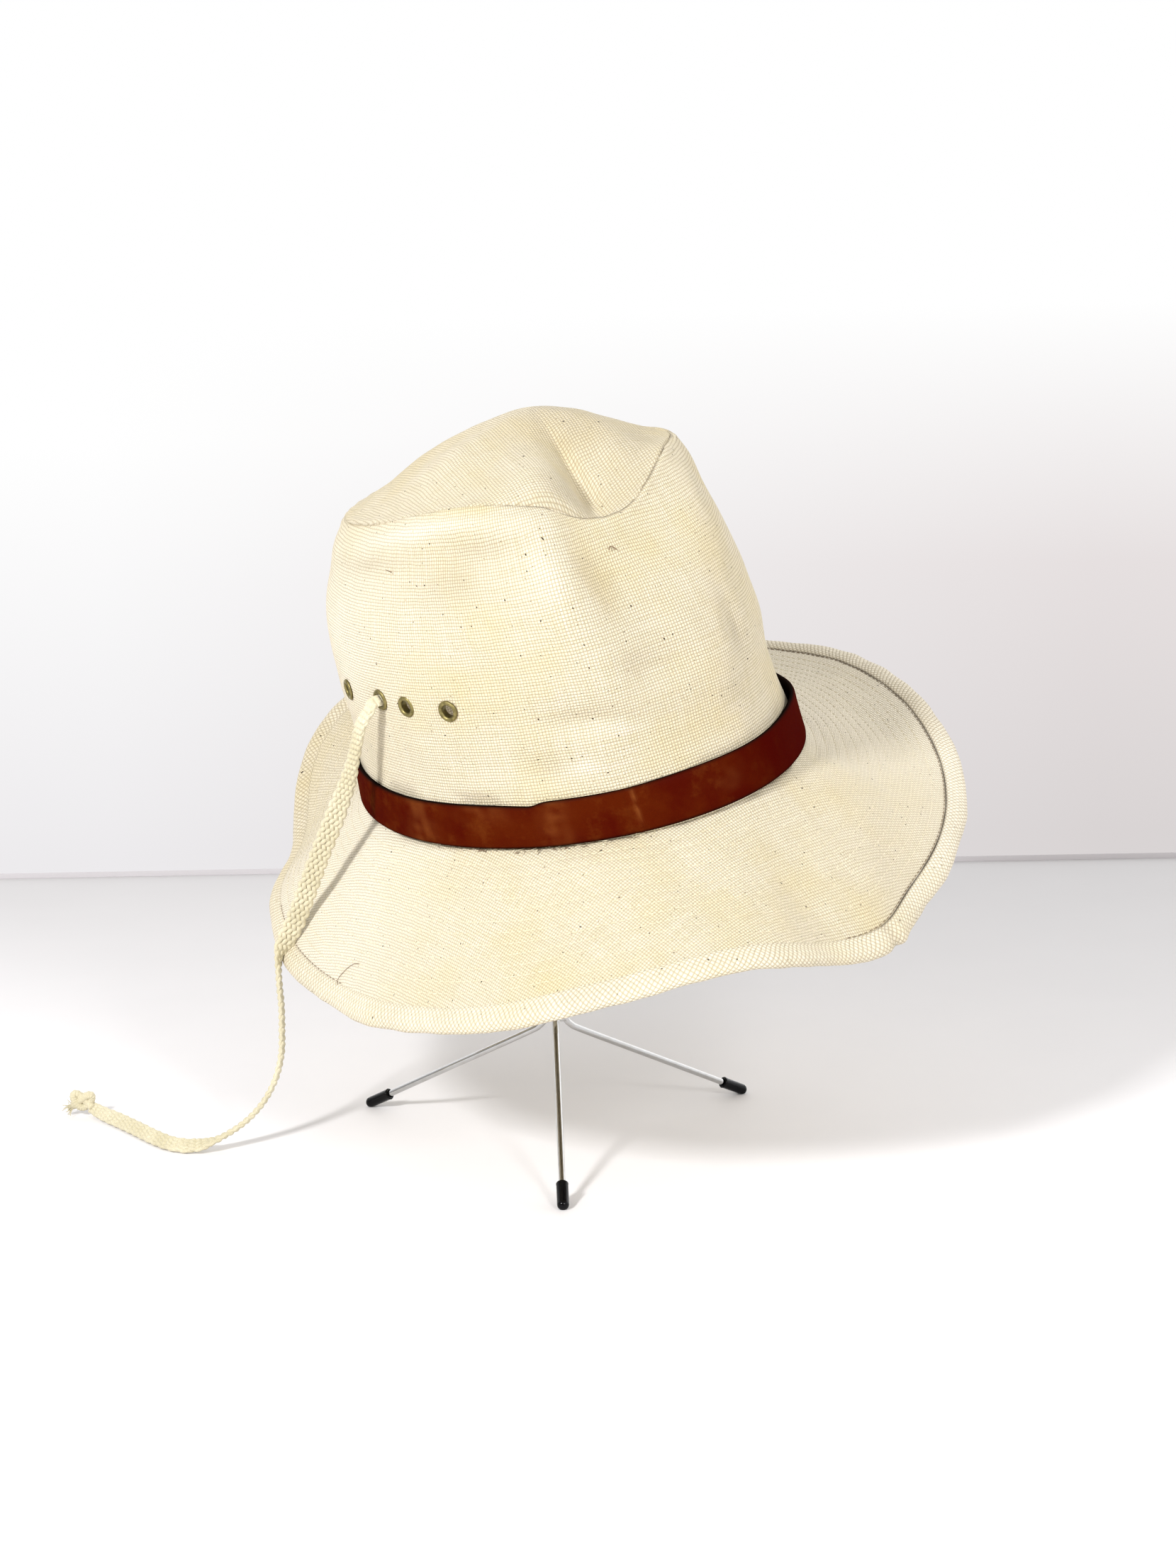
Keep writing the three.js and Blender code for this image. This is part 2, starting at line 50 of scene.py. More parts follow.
# Sizes shared with the solids
STAND_AXIS = np.array([-43.93, -17.7, 0.0])
HAT_BASE = np.array([22.7, 7.3, 152.5])
HAT_ROLL = 12.8
CANVAS = 1.6
LEATHER = 2.0
BAND_HEIGHT = 18.0
BAND_LIFT = 0.5
BRIM_WIDTH = 76.0
HEM_WIDTH = 10.0
HEM_THICK = 4.6
EYELET_HOLE, EYELET_BARREL, EYELET_FLANGE, EYELET_WASHER = 5.0, 5.7, 8.7, 7.6  # diameters
CORD_WIDTH = 9.0  # where it lies flat and loose
WIRE = 2.7
RISER_OUT, BEND_OUT, NECK_HEIGHT, FOOT_OUT = 3.5, 8.5, 43.0, 92.0
STAND_TOP, ARM_OUT, ARM_DROP = 289.7, 40.0, 18.5
SLEEVE_WIDE, SLEEVE_HIGH, SLEEVE_BOTTOM = 11.0, 12.0, 140.0
FOOT_TIP_WIDE, FOOT_TIP_LONG, FOOT_TIP_DEPTH, FOOT_TIP_FLAT = 4.7, 11.0, 8.0, 0.5
LEG_ANGLES = (36.7, 156.7, 276.7)

# Reach of the crown to its four sides, at each quarter of the side's height
CROWN = {
    "front": (101, 95, 94, 85, 66),
    "right": (84, 83, 84, 82, 66.5),
    "back": (101, 98, 98, 93, 77),
    "left": (84, 77, 75.5, 69, 60),
}
# Height of the seam between side and tip, every 15 degrees
SEAM = (116, 117, 126, 130, 131, 129, 126, 123, 121, 120, 119, 118,
        118, 119, 120, 121, 123, 124, 126, 127, 128, 130, 130, 123)
PEAK = np.array([12.0, 0.0, 148.0])
DOME_ROUND, DOME_FULLNESS = 0.35, 1.17
# Slope of the brim at the crown and at the edge, every 20 degrees
BRIM_ROOT = (44, 26, 26, 36, 44, 48, 44, 36, 24, -3, 2, 5, 7, 10, 16, 30, 40, 46)
BRIM_EDGE = (55, 38, 38, 48, 56, 60, 56, 47, 32, -4, -6, -4, 0, 0, 4, 24, 42, 53)
# Dents: angle, share of the way up (or out from the peak), depth, width in degrees, height as a share
SIDE_DENTS = ((12, 0.66, 3, 13, 0.22), (28, 0.55, -2, 9, 0.3), (66, 0.74, 2, 22, 0.14),
              (125, 0.93, -3, 25, 0.08), (-52, 0.93, -2.2, 22, 0.08))
TIP_DENTS = ((12, 0.8, 6, 13, 0.35), (125, 0.5, -2.6, 35, 0.28))
# Waves of the brim's edge: angle, how far it is pulled out and let down, width in degrees
WAVES = ((-7, 5, 4, 9), (20, 0, -2.7, 12), (157, -5, 2, 9), (171, 2.5, 0, 7), (-79, -2.0, 2.4, 11))
# Softer creases, in the columns of the dents
SIDE_CREASES = (
    (56, 0.95, -3.0, 28, 0.035),
    (56, 0.87, 2.0, 14, 0.05),
    (72, 0.72, 2.5, 14, 0.14),
    (33, 0.80, -4.0, 6, 0.14),
    (30, 0.78, -2.5, 14, 0.22),
    (19, 0.80, 2.5, 8, 0.14),
    (36, 0.37, 1.8, 10, 0.05),
    (46, 0.24, 1.5, 8, 0.05),
    (12, 0.52, 1.8, 10, 0.06),
    (-8, 0.88, 3.0, 14, 0.12),
    (-17, 0.50, 1.6, 4, 0.12),
    (140, 0.6, 1.2, 12, 0.25),
    (205, 0.5, 1.0, 14, 0.2),
    (250, 0.7, 1.4, 12, 0.12),
    (300, 0.35, 0.9, 10, 0.15),
)
TIP_CREASES = (
    (8, 0.68, 4.0, 5, 0.28),
    (-8, 0.60, 2.0, 10, 0.28),
    (-8, 0.42, -2.0, 10, 0.14),
    (28, 0.80, -4.5, 16, 0.28),
    (84, 0.55, -3.5, 20, 0.28),
    (-36, 0.80, 2.0, 10, 0.14),
    (200, 0.6, 1.5, 25, 0.2),
)
# The same for the brim: angle, reach, depth, width in degrees, length in millimetres
BRIM_CREASES = (
    (4, 52, 1.6, 4.5, 22),
    (-9, 60, -1.2, 6, 16),
    (60, 40, 0.7, 12, 18),
    (-62, 50, 0.8, 8, 20),
    (150, 45, 0.9, 8, 25),
    (230, 40, 0.8, 10, 25),
)
# Painted shade in the folds' hollows and painted light on their ridges: angle, share, amount, width, height
SIDE_FOLD_SHADE = (
    (50, 0.89, 0.17, 11, 0.03),
    (61, 0.81, 0.17, 11, 0.075),
    (92, 0.885, 0.16, 18, 0.022),
    (19, 0.80, 0.13, 7, 0.12),
    (17, 0.54, 0.09, 8, 0.05),
    (-17, 0.48, 0.15, 3, 0.06),
    (34, 0.385, 0.16, 10, 0.018),
    (47, 0.235, 0.14, 5, 0.03),
    (0, 0.6, 0.04, 14, 0.3),
)
# Painted shade on the tip: a narrow wedge near the front and a broad patch towards its front left
TIP_FOLD_SHADE = (
    (25, 0.82, 0.2, 7, 0.16),
    (-48, 0.76, 0.16, 22, 0.16),
)
SIDE_RIDGE_LIGHT = (
    (72, 0.955, 0.7, 28, 0.025),
    (108, 0.58, 0.8, 22, 0.30),
    (34, 0.79, 0.3, 5, 0.08),
    (27, 0.335, 0.5, 6, 0.02),
    (38, 0.225, 0.6, 4, 0.02),
)
# Leather rubbed pale, and pale marks of painted sheen, in the same columns; some marks run all the way up the
# band
BAND_WEAR_AND_SHEEN = (
    (28.6, 0.6, 0.55, 0.5, 0.35),
    (48.5, 0.5, 0.4, 3, math.inf),
    (66, 0.9, 0.3, 6, 0.25),
    (86, 0.5, 0.4, 4, math.inf),
    (2, 0.55, 0.3, 4, 0.2),
)
# Stretches round the hat: middle angle, amount, half the width and softness of the ends in degrees
SEAM_GROOVE = ((-8, 1.0, 46, 4),)  # where the crown's seam lies sunk
TIP_PAINTED_SHADE = ((-30, 0.16, 70, 20),)  # painted shade that greys the tip
# Where the hem's crease lies, darkened with painted shade and sewn
HEM_CREASE = ((-77, 1.0, 71, 2.5), (117, 0.14, 20, 2))  # plain on the far side, faint at the near left
# Painted light: hem and brim paler round their left, the hem faintly at its right, the brim at its right-back
HEM_PAINTED_LIGHT = ((-80, 0.8, 60, 12), (72, 0.35, 70, 12))
BRIM_PAINTED_LIGHT = ((-95, 0.9, 55, 12), (118, 0.9, 30, 8))
# Bumps round the band and the hem: angle, amount, width in degrees
BAND_WAVES = ((50, 1.1, 4), (58, -0.3, 5))
BAND_CREASE = ((29, 0.5, 0.5), (30.3, -0.35, 0.7))
BAND_FLARE = ((-48, 2.6, 16),)  # where its top edge stands away from the crown
HEM_JOIN = ((-8, 1.0, 1.1),)
HEM_LUMP = ((-10.5, 0.14, 1.3),)  # the folded end beside the join
# Section of the band, round from its lower edge: share of its height, share of its thickness, ink
BAND_SECTION = np.array([
    (0.0, 0.55, 1), (0.02, 0.85, 0.7), (0.07, 1.0, 0.05), (0.2, 1.04, 0), (0.35, 1.06, 0), (0.5, 1.07, 0),
    (0.65, 1.06, 0), (0.8, 1.04, 0), (0.93, 1.0, 0.05), (0.98, 0.85, 0.5), (1.0, 0.55, 1),
    (1.0, 0.0, 1), (0.5, 0.0, 1), (0.0, 0.0, 1),
])
# Eyelets of the right side: angle, height; the left side mirrors them
EYELETS = ((110.4, 57.2), (92.4, 58.5), (82.6, 57.5), (69.5, 56.6))
# The cord from inside its eyelet to its free end, from the stand's axis
CORD_ROUTE = (
    (-69.5, 11.3, 191.6), (-72.1, 11.4, 191.0), (-75.6, 11.6, 190.0), (-77.0, 13.2, 186.6),
    (-78.0, 17.2, 181.0), (-77.0, 22.3, 173.1), (-74.5, 32.7, 157.5), (-74.2, 43.9, 140.7),
    (-74.9, 54.6, 124.2), (-75.3, 65.1, 107.6), (-76.1, 75.0, 91.2), (-78.1, 81.7, 79.9),
    (-79.8, 83.9, 71.9), (-80.5, 83.1, 63.2), (-81.4, 80.9, 54.0), (-83.5, 78.0, 45.0),
    (-86.2, 75.0, 36.0), (-90.5, 73.1, 27.2), (-96.7, 72.7, 18.8), (-104.2, 74.0, 12.0),
    (-112.5, 76.6, 7.0), (-120.5, 79.8, 4.0), (-127.0, 84.5, 3.0), (-130.8, 92.0, 3.0),
    (-131.8, 102.0, 3.0), (-131.6, 116.0, 3.0), (-131.4, 132.0, 3.0), (-132.0, 147.0, 3.2),
    (-132.3, 155.5, 3.8),
)
# How the flat cord turns: point of the route, direction of its width, share of its full width
CORD_TURNS = (
    (0, (0.2, -0.6, -0.75), 0.45),
    (3.4, (0.35, -0.7, -0.6), 0.47),
    (4.6, (0.5, -0.65, -0.5), 0.48),
    (5.5, (0.6, -0.62, -0.45), 0.52),
    (6.2, (0.68, -0.6, -0.4), 0.78),
    (7.0, (0.69, -0.6, -0.38), 0.97),
    (10.0, (0.69, -0.6, -0.38), 1.0),
    (10.8, (0.72, -0.35, -0.3), 0.95),
    (11.5, (0.7, 0.3, -0.25), 0.88),
    (12.2, (0.6, 0.78, -0.2), 0.80),
    (20.3, (0.6, 0.78, -0.2), 0.75),
    (21.3, (0.75, 0.35, 0.4), 0.72),
    (22.3, (0.77, 0.0, 0.64), 0.70),
    (26.5, (0.77, 0.0, 0.64), 0.70),
    (28, (0.77, 0.0, 0.64), 0.5),
)


# Making materials
def linear(hex_colour):
    """An sRGB hex colour as the linear colour that shaders take."""
    parts = [int(hex_colour[i:i + 2], 16) / 255 for i in (1, 3, 5)]
    return (*[p / 12.92 if p <= 0.04045 else ((p + 0.055) / 1.055) ** 2.4 for p in parts], 1.0)


def node(tree, kind, inputs=None, **settings):
    """Adds one shader node. An input given a socket, or a node's first output, is linked; others are set."""
    made = tree.nodes.new("ShaderNode" + kind)
    for name, value in settings.items():
        setattr(made, name, value)
    for key, value in (inputs or {}).items():
        if isinstance(value, bpy.types.Node):
            value = value.outputs[0]
        if isinstance(value, bpy.types.NodeSocket):
            tree.links.new(value, made.inputs[key])
        else:
            made.inputs[key].default_value = value
    return made


def blank(name):
    """A new material and its empty node tree."""
    material = bpy.data.materials.new(name)
    material.use_nodes = True
    material.node_tree.nodes.clear()
    return material, material.node_tree


def finished(material, inputs):
    """The material, with a Principled shader of those inputs on its output."""
    shader = node(material.node_tree, "BsdfPrincipled", inputs)
    node(material.node_tree, "OutputMaterial", {"Surface": shader})
    return material


# Materials
YARN, HEM_YARN = 1.2, 1.6  # the yarns lie 1.05 apart, and are drawn coarser so that they show
SLUB_LONG = 25  # a thick place in a yarn
STAIN_WIDE = 42


def cotton_canvas(name, bias, yarn):
    """Undyed cotton duck, plain woven from thick yarn and never bleached.

    It is matt. Every crossing of the yarns stands up as a bead, and the pit beside it is painted darker as
    shade. Brown bits of seed show as flecks, and age has left faint yellow stains. The hem is a strip cut on
    the bias, so its weave is turned.
    """
    material, tree = blank(name)
    flat = node(tree, "UVMap", uv_map=CLOTH_MAP)
    cloth = node(tree, "VectorRotate", {"Vector": flat, "Angle": bias}, rotation_type="Z_AXIS")
    # Yarns that wander about 1 mm over 9 mm
    wander = node(tree, "TexNoise", {"Vector": cloth, "Scale": 1 / 9, "Detail": 3}).outputs["Color"]
    yarns = node(tree, "VectorMath", {0: wander, 1: (1.1, 1.1, 0), 2: cloth}, operation="MULTIPLY_ADD")
    phase = node(tree, "VectorMath", {0: yarns, "Scale": math.pi / yarn}, operation="SCALE")
    axes = node(tree, "SeparateXYZ", {0: phase})
    warp = node(tree, "Math", {0: axes.outputs["X"]}, operation="SINE")
    weft = node(tree, "Math", {0: axes.outputs["Y"]}, operation="SINE")
    crossing = node(tree, "Math", {0: warp, 1: weft}, operation="MULTIPLY")
    lump = node(tree, "Math", {0: crossing}, operation="ABSOLUTE")
    swell = node(tree, "Math", {0: lump, 1: 0.6}, operation="POWER")
    bead = node(tree, "Math", {0: crossing, 1: 0.25, 2: swell}, operation="MULTIPLY_ADD")
    # Painted shade: the pits beside the beads are darkened
    pit_shade = node(tree, "MapRange", {0: bead, 1: 0.0, 2: 0.8, 3: 0.75, 4: 0.0})
    # Uneven yarns: long streaks one yarn wide, both ways
    slubs = []
    for stretch in ((1 / yarn, 1 / SLUB_LONG, 0), (1 / SLUB_LONG, 1 / yarn, 0)):
        streak = node(tree, "VectorMath", {0: cloth, 1: stretch}, operation="MULTIPLY")
        slubs.append(node(tree, "TexNoise", {"Vector": streak, "Scale": 1, "Detail": 1}))
    slub = node(tree, "Math", {0: slubs[0], 1: slubs[1]}, operation="MULTIPLY")
    slub_share = node(tree, "MapRange", {0: slub, 1: 0.12, 2: 0.4})
    # Yellow stains, then what is painted on the mesh: soil together with painted shade, and painted light
    blotch = node(tree, "TexNoise", {"Vector": cloth, "Scale": 1 / STAIN_WIDE, "Detail": 4,
                                     "Roughness": 0.55})
    stain = node(tree, "MapRange", {0: blotch, 1: 0.46, 2: 0.74, 3: 0.0, 4: 0.75})
    soil_and_shade = node(tree, "Attribute", attribute_name="soil_and_shade")
    painted_light = node(tree, "Attribute", attribute_name="painted_light")
    # Seed flecks: one in ten cells of 4.2 mm holds a dark one, one in seven of 2.4 mm a pale one
    ragged = node(tree, "VectorMath", {0: wander, 1: (5, 5, 0), 2: cloth}, operation="MULTIPLY_ADD")
    flecks = []
    for cell, chosen, radius in ((4.2, 0.90, 0.085), (2.4, 0.86, 0.10)):
        cells = node(tree, "TexVoronoi", {"Vector": ragged, "Scale": 1 / cell}, voronoi_dimensions="2D")
        draw = node(tree, "SeparateColor", {0: cells.outputs["Color"]})
        picked = node(tree, "Math", {0: draw.outputs["Red"], 1: chosen}, operation="GREATER_THAN")
        size = node(tree, "MapRange", {0: draw.outputs["Green"], 3: 0.4 * radius, 4: radius})
        inside = node(tree, "Math", {0: cells.outputs["Distance"], 1: size}, operation="LESS_THAN")
        flecks.append(node(tree, "Math", {0: picked, 1: inside}, operation="MULTIPLY"))
    layers = (
        (slub_share, "#d9cfb3"),
        (stain, "#dccc9e"),
        (painted_light.outputs["Fac"], "#f6eedb"),
        (pit_shade, "#9e8c68"),
        (soil_and_shade.outputs["Fac"], "#665842"),
        (flecks[1], "#93856a"),
        (flecks[0], "#463a2a"),
    )
    colour = linear("#e5dbc4")
    for share, tint in layers:
        over = node(tree, "Mix", {0: share, 6: colour, 7: linear(tint)}, data_type="RGBA")
        colour = over.outputs[2]
    height = node(tree, "Math", {0: slub, 1: 0.9, 2: bead}, operation="MULTIPLY_ADD")
    bump = node(tree, "Bump", {"Height": height, "Distance": 0.40 * MM, "Strength": 0.9})
    return finished(material, {"Base Color": colour, "Normal": bump, "Roughness": 0.92,
                               "Specular IOR Level": 0.2, "Sheen Weight": 0.12, "Sheen Roughness": 0.6})


def polished_leather():
    """Vegetable-tanned cowhide, stained red-brown and waxed.

    The dye lies unevenly, so it is nearly black-red in places and tan where it is rubbed; the tan places and
    pale marks also stand in as painted sheen. The wax shines softly over a fine grain, and the cut edges are
    inked dark.
    """
    material, tree = blank("polished_leather")
    flat = node(tree, "UVMap", uv_map=CLOTH_MAP)
    # Clouds of dye 26 mm across, and rubbed places of 15 mm, which also stand in as painted sheen
    dye = node(tree, "TexNoise", {"Vector": flat, "Scale": 1 / 26, "Detail": 5, "Roughness": 0.6})
    deep = node(tree, "MapRange", {0: dye, 1: 0.42, 2: 0.6})
    rubbing = node(tree, "TexNoise", {"Vector": flat, "Scale": 1 / 15, "Detail": 6, "Roughness": 0.7})
    rubbed_and_sheen = node(tree, "MapRange", {0: rubbing, 1: 0.52, 2: 0.74, 3: 0.0, 4: 0.55})
    dyed = node(tree, "Attribute", attribute_name="dyed")
    wear_and_sheen = node(tree, "Attribute", attribute_name="wear_and_sheen")
    ink = node(tree, "Attribute", attribute_name="ink")
    layers = (
        (deep, "#430a02"),
        (rubbed_and_sheen, "#67330f"),
        (dyed.outputs["Fac"], "#3d0100"),
        (wear_and_sheen.outputs["Fac"], "#77401c"),
        (ink.outputs["Fac"], "#140a07"),
    )
    colour = linear("#4c1603")
    for share, tint in layers:
        over = node(tree, "Mix", {0: share, 6: colour, 7: linear(tint)}, data_type="RGBA")
        colour = over.outputs[2]
    # Grain cells of 0.9 mm with creases between them, over softer hills of 4 mm
    grain = node(tree, "TexVoronoi", {"Vector": flat, "Scale": 1 / 0.9}, feature="DISTANCE_TO_EDGE")
    crease = node(tree, "MapRange", {0: grain, 1: 0.0, 2: 0.18})
    hills = node(tree, "TexNoise", {"Vector": flat, "Scale": 1 / 4, "Detail": 3})
    height = node(tree, "Math", {0: hills, 1: 2.2, 2: crease}, operation="MULTIPLY_ADD")
    bump = node(tree, "Bump", {"Height": height, "Distance": 0.06 * MM, "Strength": 0.7})
    gloss = node(tree, "MapRange", {0: rubbing, 1: 0.3, 2: 0.75, 3: 0.36, 4: 0.52})
    return finished(material, {"Base Color": colour, "Normal": bump, "Roughness": 0.8,
                               "Specular IOR Level": 0.0, "Coat Weight": 0.015, "Coat Roughness": gloss})


def aged_brass():
    """Stamped brass, browned with age: a dull olive skin, thin and brighter where it is handled."""
    material, tree = blank("aged_brass")
    place = node(tree, "TexCoord").outputs["Object"]
    film = node(tree, "TexNoise", {"Vector": place, "Scale": 1 / (1.4 * MM), "Detail": 4})
    share = node(tree, "MapRange", {0: film, 1: 0.35, 2: 0.7})
    tone = node(tree, "Mix", {0: share, 6: linear("#938859"), 7: linear("#6f6642")}, data_type="RGBA")
    rough = node(tree, "MapRange", {0: film, 1: 0.3, 2: 0.7, 3: 0.42, 4: 0.58})
    bump = node(tree, "Bump", {"Height": film, "Distance": 0.03 * MM, "Strength": 0.5})
    return finished(material, {"Base Color": tone.outputs[2], "Roughness": rough, "Normal": bump,
                               "Metallic": 1.0})


def cotton_strand(name, light, dark):
    """Soft-spun cotton, braided or sewn: matt and a little fuzzy, paler where the fibres stand up."""
    material, tree = blank(name)
    place = node(tree, "TexCoord").outputs["Object"]
    fibres = node(tree, "TexNoise", {"Vector": place, "Scale": 1 / (0.5 * MM), "Detail": 3})
    cloud = node(tree, "TexNoise", {"Vector": place, "Scale": 1 / (18 * MM), "Detail": 3})
    both = node(tree, "Math", {0: fibres, 1: cloud}, operation="MULTIPLY")
    share = node(tree, "MapRange", {0: both, 1: 0.12, 2: 0.42})
    tone = node(tree, "Mix", {0: share, 6: linear(dark), 7: linear(light)}, data_type="RGBA")
    bump = node(tree, "Bump", {"Height": fibres, "Distance": 0.12 * MM, "Strength": 0.6})
    return finished(material, {"Base Color": tone.outputs[2], "Normal": bump, "Roughness": 0.9,
                               "Sheen Weight": 0.15, "Sheen Roughness": 0.6})


def chromed_wire():
    """Drawn steel wire, chrome plated: a mirror under a faint uneven film."""
    material, tree = blank("chromed_wire")
    place = node(tree, "TexCoord").outputs["Object"]
    film = node(tree, "TexNoise", {"Vector": place, "Scale": 1 / (3 * MM), "Detail": 4})
    rough = node(tree, "MapRange", {0: film, 1: 0.3, 2: 0.7, 3: 0.03, 4: 0.08})
    tone = node(tree, "Mix", {0: film, 6: linear("#c9cacc"), 7: linear("#b4b2ae")}, data_type="RGBA")
    return finished(material, {"Base Color": tone.outputs[2], "Roughness": rough, "Metallic": 1.0})


def dipped_vinyl():
    """Soft PVC, dipped in layers: deep black and glossy with a slightly wavy skin."""
    material, tree = blank("dipped_vinyl")
    place = node(tree, "TexCoord").outputs["Object"]
    film = node(tree, "TexNoise", {"Vector": place, "Scale": 1 / (2.5 * MM), "Detail": 2})
    tone = node(tree, "Mix", {0: film, 6: linear("#040405"), 7: linear("#0a0a0c")}, data_type="RGBA")
    rough = node(tree, "MapRange", {0: film, 1: 0.3, 2: 0.7, 3: 0.07, 4: 0.15})
    bump = node(tree, "Bump", {"Height": film, "Distance": 0.05 * MM, "Strength": 0.4})
    return finished(material, {"Base Color": tone.outputs[2], "Roughness": rough, "Normal": bump,
                               "Specular IOR Level": 0.15})


def painted_board(name, paint, back_shade):
    """Board painted a pale colour, darkened towards its back edge by painted shade: matt, with the faintest
    mottle.
    """
    material, tree = blank(name)
    place = node(tree, "TexCoord").outputs["Object"]
    depth = node(tree, "VectorMath", {0: place, 1: FLOOR_BEHIND}, operation="DOT_PRODUCT").outputs["Value"]
    falloff_shade = node(tree, "MapRange", {0: depth, 1: SHADE_START * MM, 2: SHADE_END * MM})
    shade = node(tree, "Mix", {0: falloff_shade, 6: linear(paint), 7: linear(back_shade)}, data_type="RGBA")
    mottle = node(tree, "TexNoise", {"Vector": place, "Scale": 1 / (60 * MM), "Detail": 4})
    share = node(tree, "MapRange", {0: mottle, 3: 0.96, 4: 1.0})
    tone = node(tree, "Mix", {0: share, 6: linear("#000000"), 7: shade.outputs[2]}, data_type="RGBA")
    return finished(material, {"Base Color": tone.outputs[2], "Roughness": 0.6})


canvas = cotton_canvas("cotton_canvas", 0.0, YARN)
bias_canvas = cotton_canvas("cotton_canvas_bias", math.radians(45), HEM_YARN)
leather = polished_leather()
brass = aged_brass()
braid_cotton = cotton_strand("braided_cotton", "#d6cfb6", "#bab191")
ecru_thread = cotton_strand("ecru_thread", "#e9e1cb", "#d6caa8")
brown_thread = cotton_strand("brown_thread", "#8a7150", "#5d4730")
chrome = chromed_wire()
vinyl = dipped_vinyl()


# Making meshes
def unit(vectors):
    """The vectors' directions, with length 1."""
    return vectors / np.linalg.norm(vectors, axis=-1, keepdims=True)


def shown(name, points, faces, material):
    """A new object from points in millimetres."""
    mesh = bpy.data.meshes.new(name)
    mesh.from_pydata((np.asarray(points) * MM).tolist(), [], [list(face) for face in faces])
    mesh.shade_smooth()
    mesh.materials.append(material)
    made = bpy.data.objects.new(name, mesh)
    bpy.context.scene.collection.objects.link(made)
    return made


def piece(name, points, faces, material, slot, stands_for=(), cloth=None, lap=0.0, paint=None):
    """One piece from points in millimetres, riding on the body.

    cloth is each point's place along the cloth; lap is the length at which its first coordinate starts again.
    paint maps the name of a point attribute to its values.
    """
    made = shown(name, points, faces, material)
    mesh = made.data
    for label, values in (paint or {}).items():
        attribute = mesh.attributes.new(label, "FLOAT", "POINT")
        attribute.data.foreach_set("value", np.asarray(values, np.float32).ravel())
    if cloth is not None:
        corner = np.empty(len(mesh.loops), np.int32)
        mesh.loops.foreach_get("vertex_index", corner)
        place = np.asarray(cloth, float)[corner]
        if lap:
            start = np.empty(len(mesh.polygons), np.int32)
            mesh.polygons.foreach_get("loop_start", start)
            count = np.diff(np.append(start, len(corner)))
            furthest = np.repeat(np.maximum.reduceat(place[:, 0], start), count)
            place[:, 0] += lap * (place[:, 0] < furthest - lap / 2)
        layer = mesh.uv_layers.new(name=CLOTH_MAP)
        layer.uv.foreach_set("vector", place.astype(np.float32).ravel())
    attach(made, BODY)
    if stands_for:
        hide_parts(*stands_for)
    return made


def skin(columns, count, closed=True):
    """Faces of loops of points in columns round a ring; a closed loop joins its last point to its first."""
    i, j = np.meshgrid(np.arange(columns), np.arange(count if closed else count - 1), indexing="ij")
    side, up = (i + 1) % columns, (j + 1) % count
    return np.stack([i * count + j, i * count + up, side * count + up, side * count + j], -1).reshape(-1, 4)


def there_and_back(first, second):
    """Values of loops that run along one grid and back along the other."""
    loops = np.concatenate([first, second[:, ::-1]], 1)
    return loops.reshape(-1, *loops.shape[2:])


def normals(grid):
    """Unit vectors square to a grid of points that closes round its first axis."""
    across = np.roll(grid, -1, 0) - np.roll(grid, 1, 0)
    return unit(np.cross(np.gradient(grid, axis=1), across))


def rumple(points, size, seed):
    """A smooth uneven field over points, about 1 either way, whose lumps are about that size."""
    draw = np.random.default_rng(seed)
    count = 20  # waves that add up to it
    waves = unit(draw.normal(size=(count, 3))) * 2 * math.pi / (size * draw.uniform(1.0, 2.4, (count, 1)))
    return np.sin(points @ waves.T + draw.uniform(0, 2 * math.pi, count)).sum(-1) / math.sqrt(count / 2)


def curved(before, start, end, after, t):
    """What lies a share t of the way from start to end, on a smooth curve through all four."""
    return start + t * ((end - before) / 2 + t * (before - 2.5 * start + 2 * end - after / 2
                                                  + t * ((after - before) / 2 + 1.5 * (start - end))))


def run_on(values):
    """Values with one more at each end, straight on from the last two."""
    values = np.asarray(values, float)
    return np.concatenate([2 * values[:1] - values[1:2], values, 2 * values[-1:] - values[-2:-1]])


def smooth_line(points, steps):
    """Points along a smooth curve through the given ones, with that many steps between each two."""
    longer = run_on(points)
    four = (longer[k:len(longer) - 3 + k, None] for k in range(4))
    curve = curved(*four, (np.arange(steps) / steps)[None, :, None])
    return np.vstack([curve.reshape(-1, longer.shape[1]), points[-1]])


def distances(line):
    """How far along a line each of its points lies."""
    return np.append(0, np.cumsum(np.linalg.norm(np.diff(line, axis=0), axis=1)))


def ring_run(line):
    """How far along a closed line each of its points lies, and the line's length."""
    far = distances(np.vstack([line, line[:1]]))
    return far[:-1], far[-1]


def at_distances(at, far, values):
    """Columns of values known at some distances, read at others."""
    return np.stack([np.interp(at, far, values[:, k]) for k in range(values.shape[1])], -1)


def evenly(line, spacing):
    """A line's points again, that far apart."""
    far = distances(line)
    return at_distances(np.linspace(0, far[-1], max(2, round(far[-1] / spacing) + 1)), far, line)


def circle(sides):
    """Cosines and sines of even steps round a circle."""
    angle = np.arange(sides) * 2 * math.pi / sides
    return np.cos(angle), np.sin(angle)


def tube_faces(count, sides):
    """Faces of rings of points that follow each other, with both ends closed."""
    faces = []
    for k in range(count - 1):
        for s in range(sides):
            n = (s + 1) % sides
            faces.append((k * sides + s, k * sides + n, (k + 1) * sides + n, (k + 1) * sides + s))
    faces.append(tuple(range(sides))[::-1])
    faces.append(tuple((count - 1) * sides + s for s in range(sides)))
    return faces


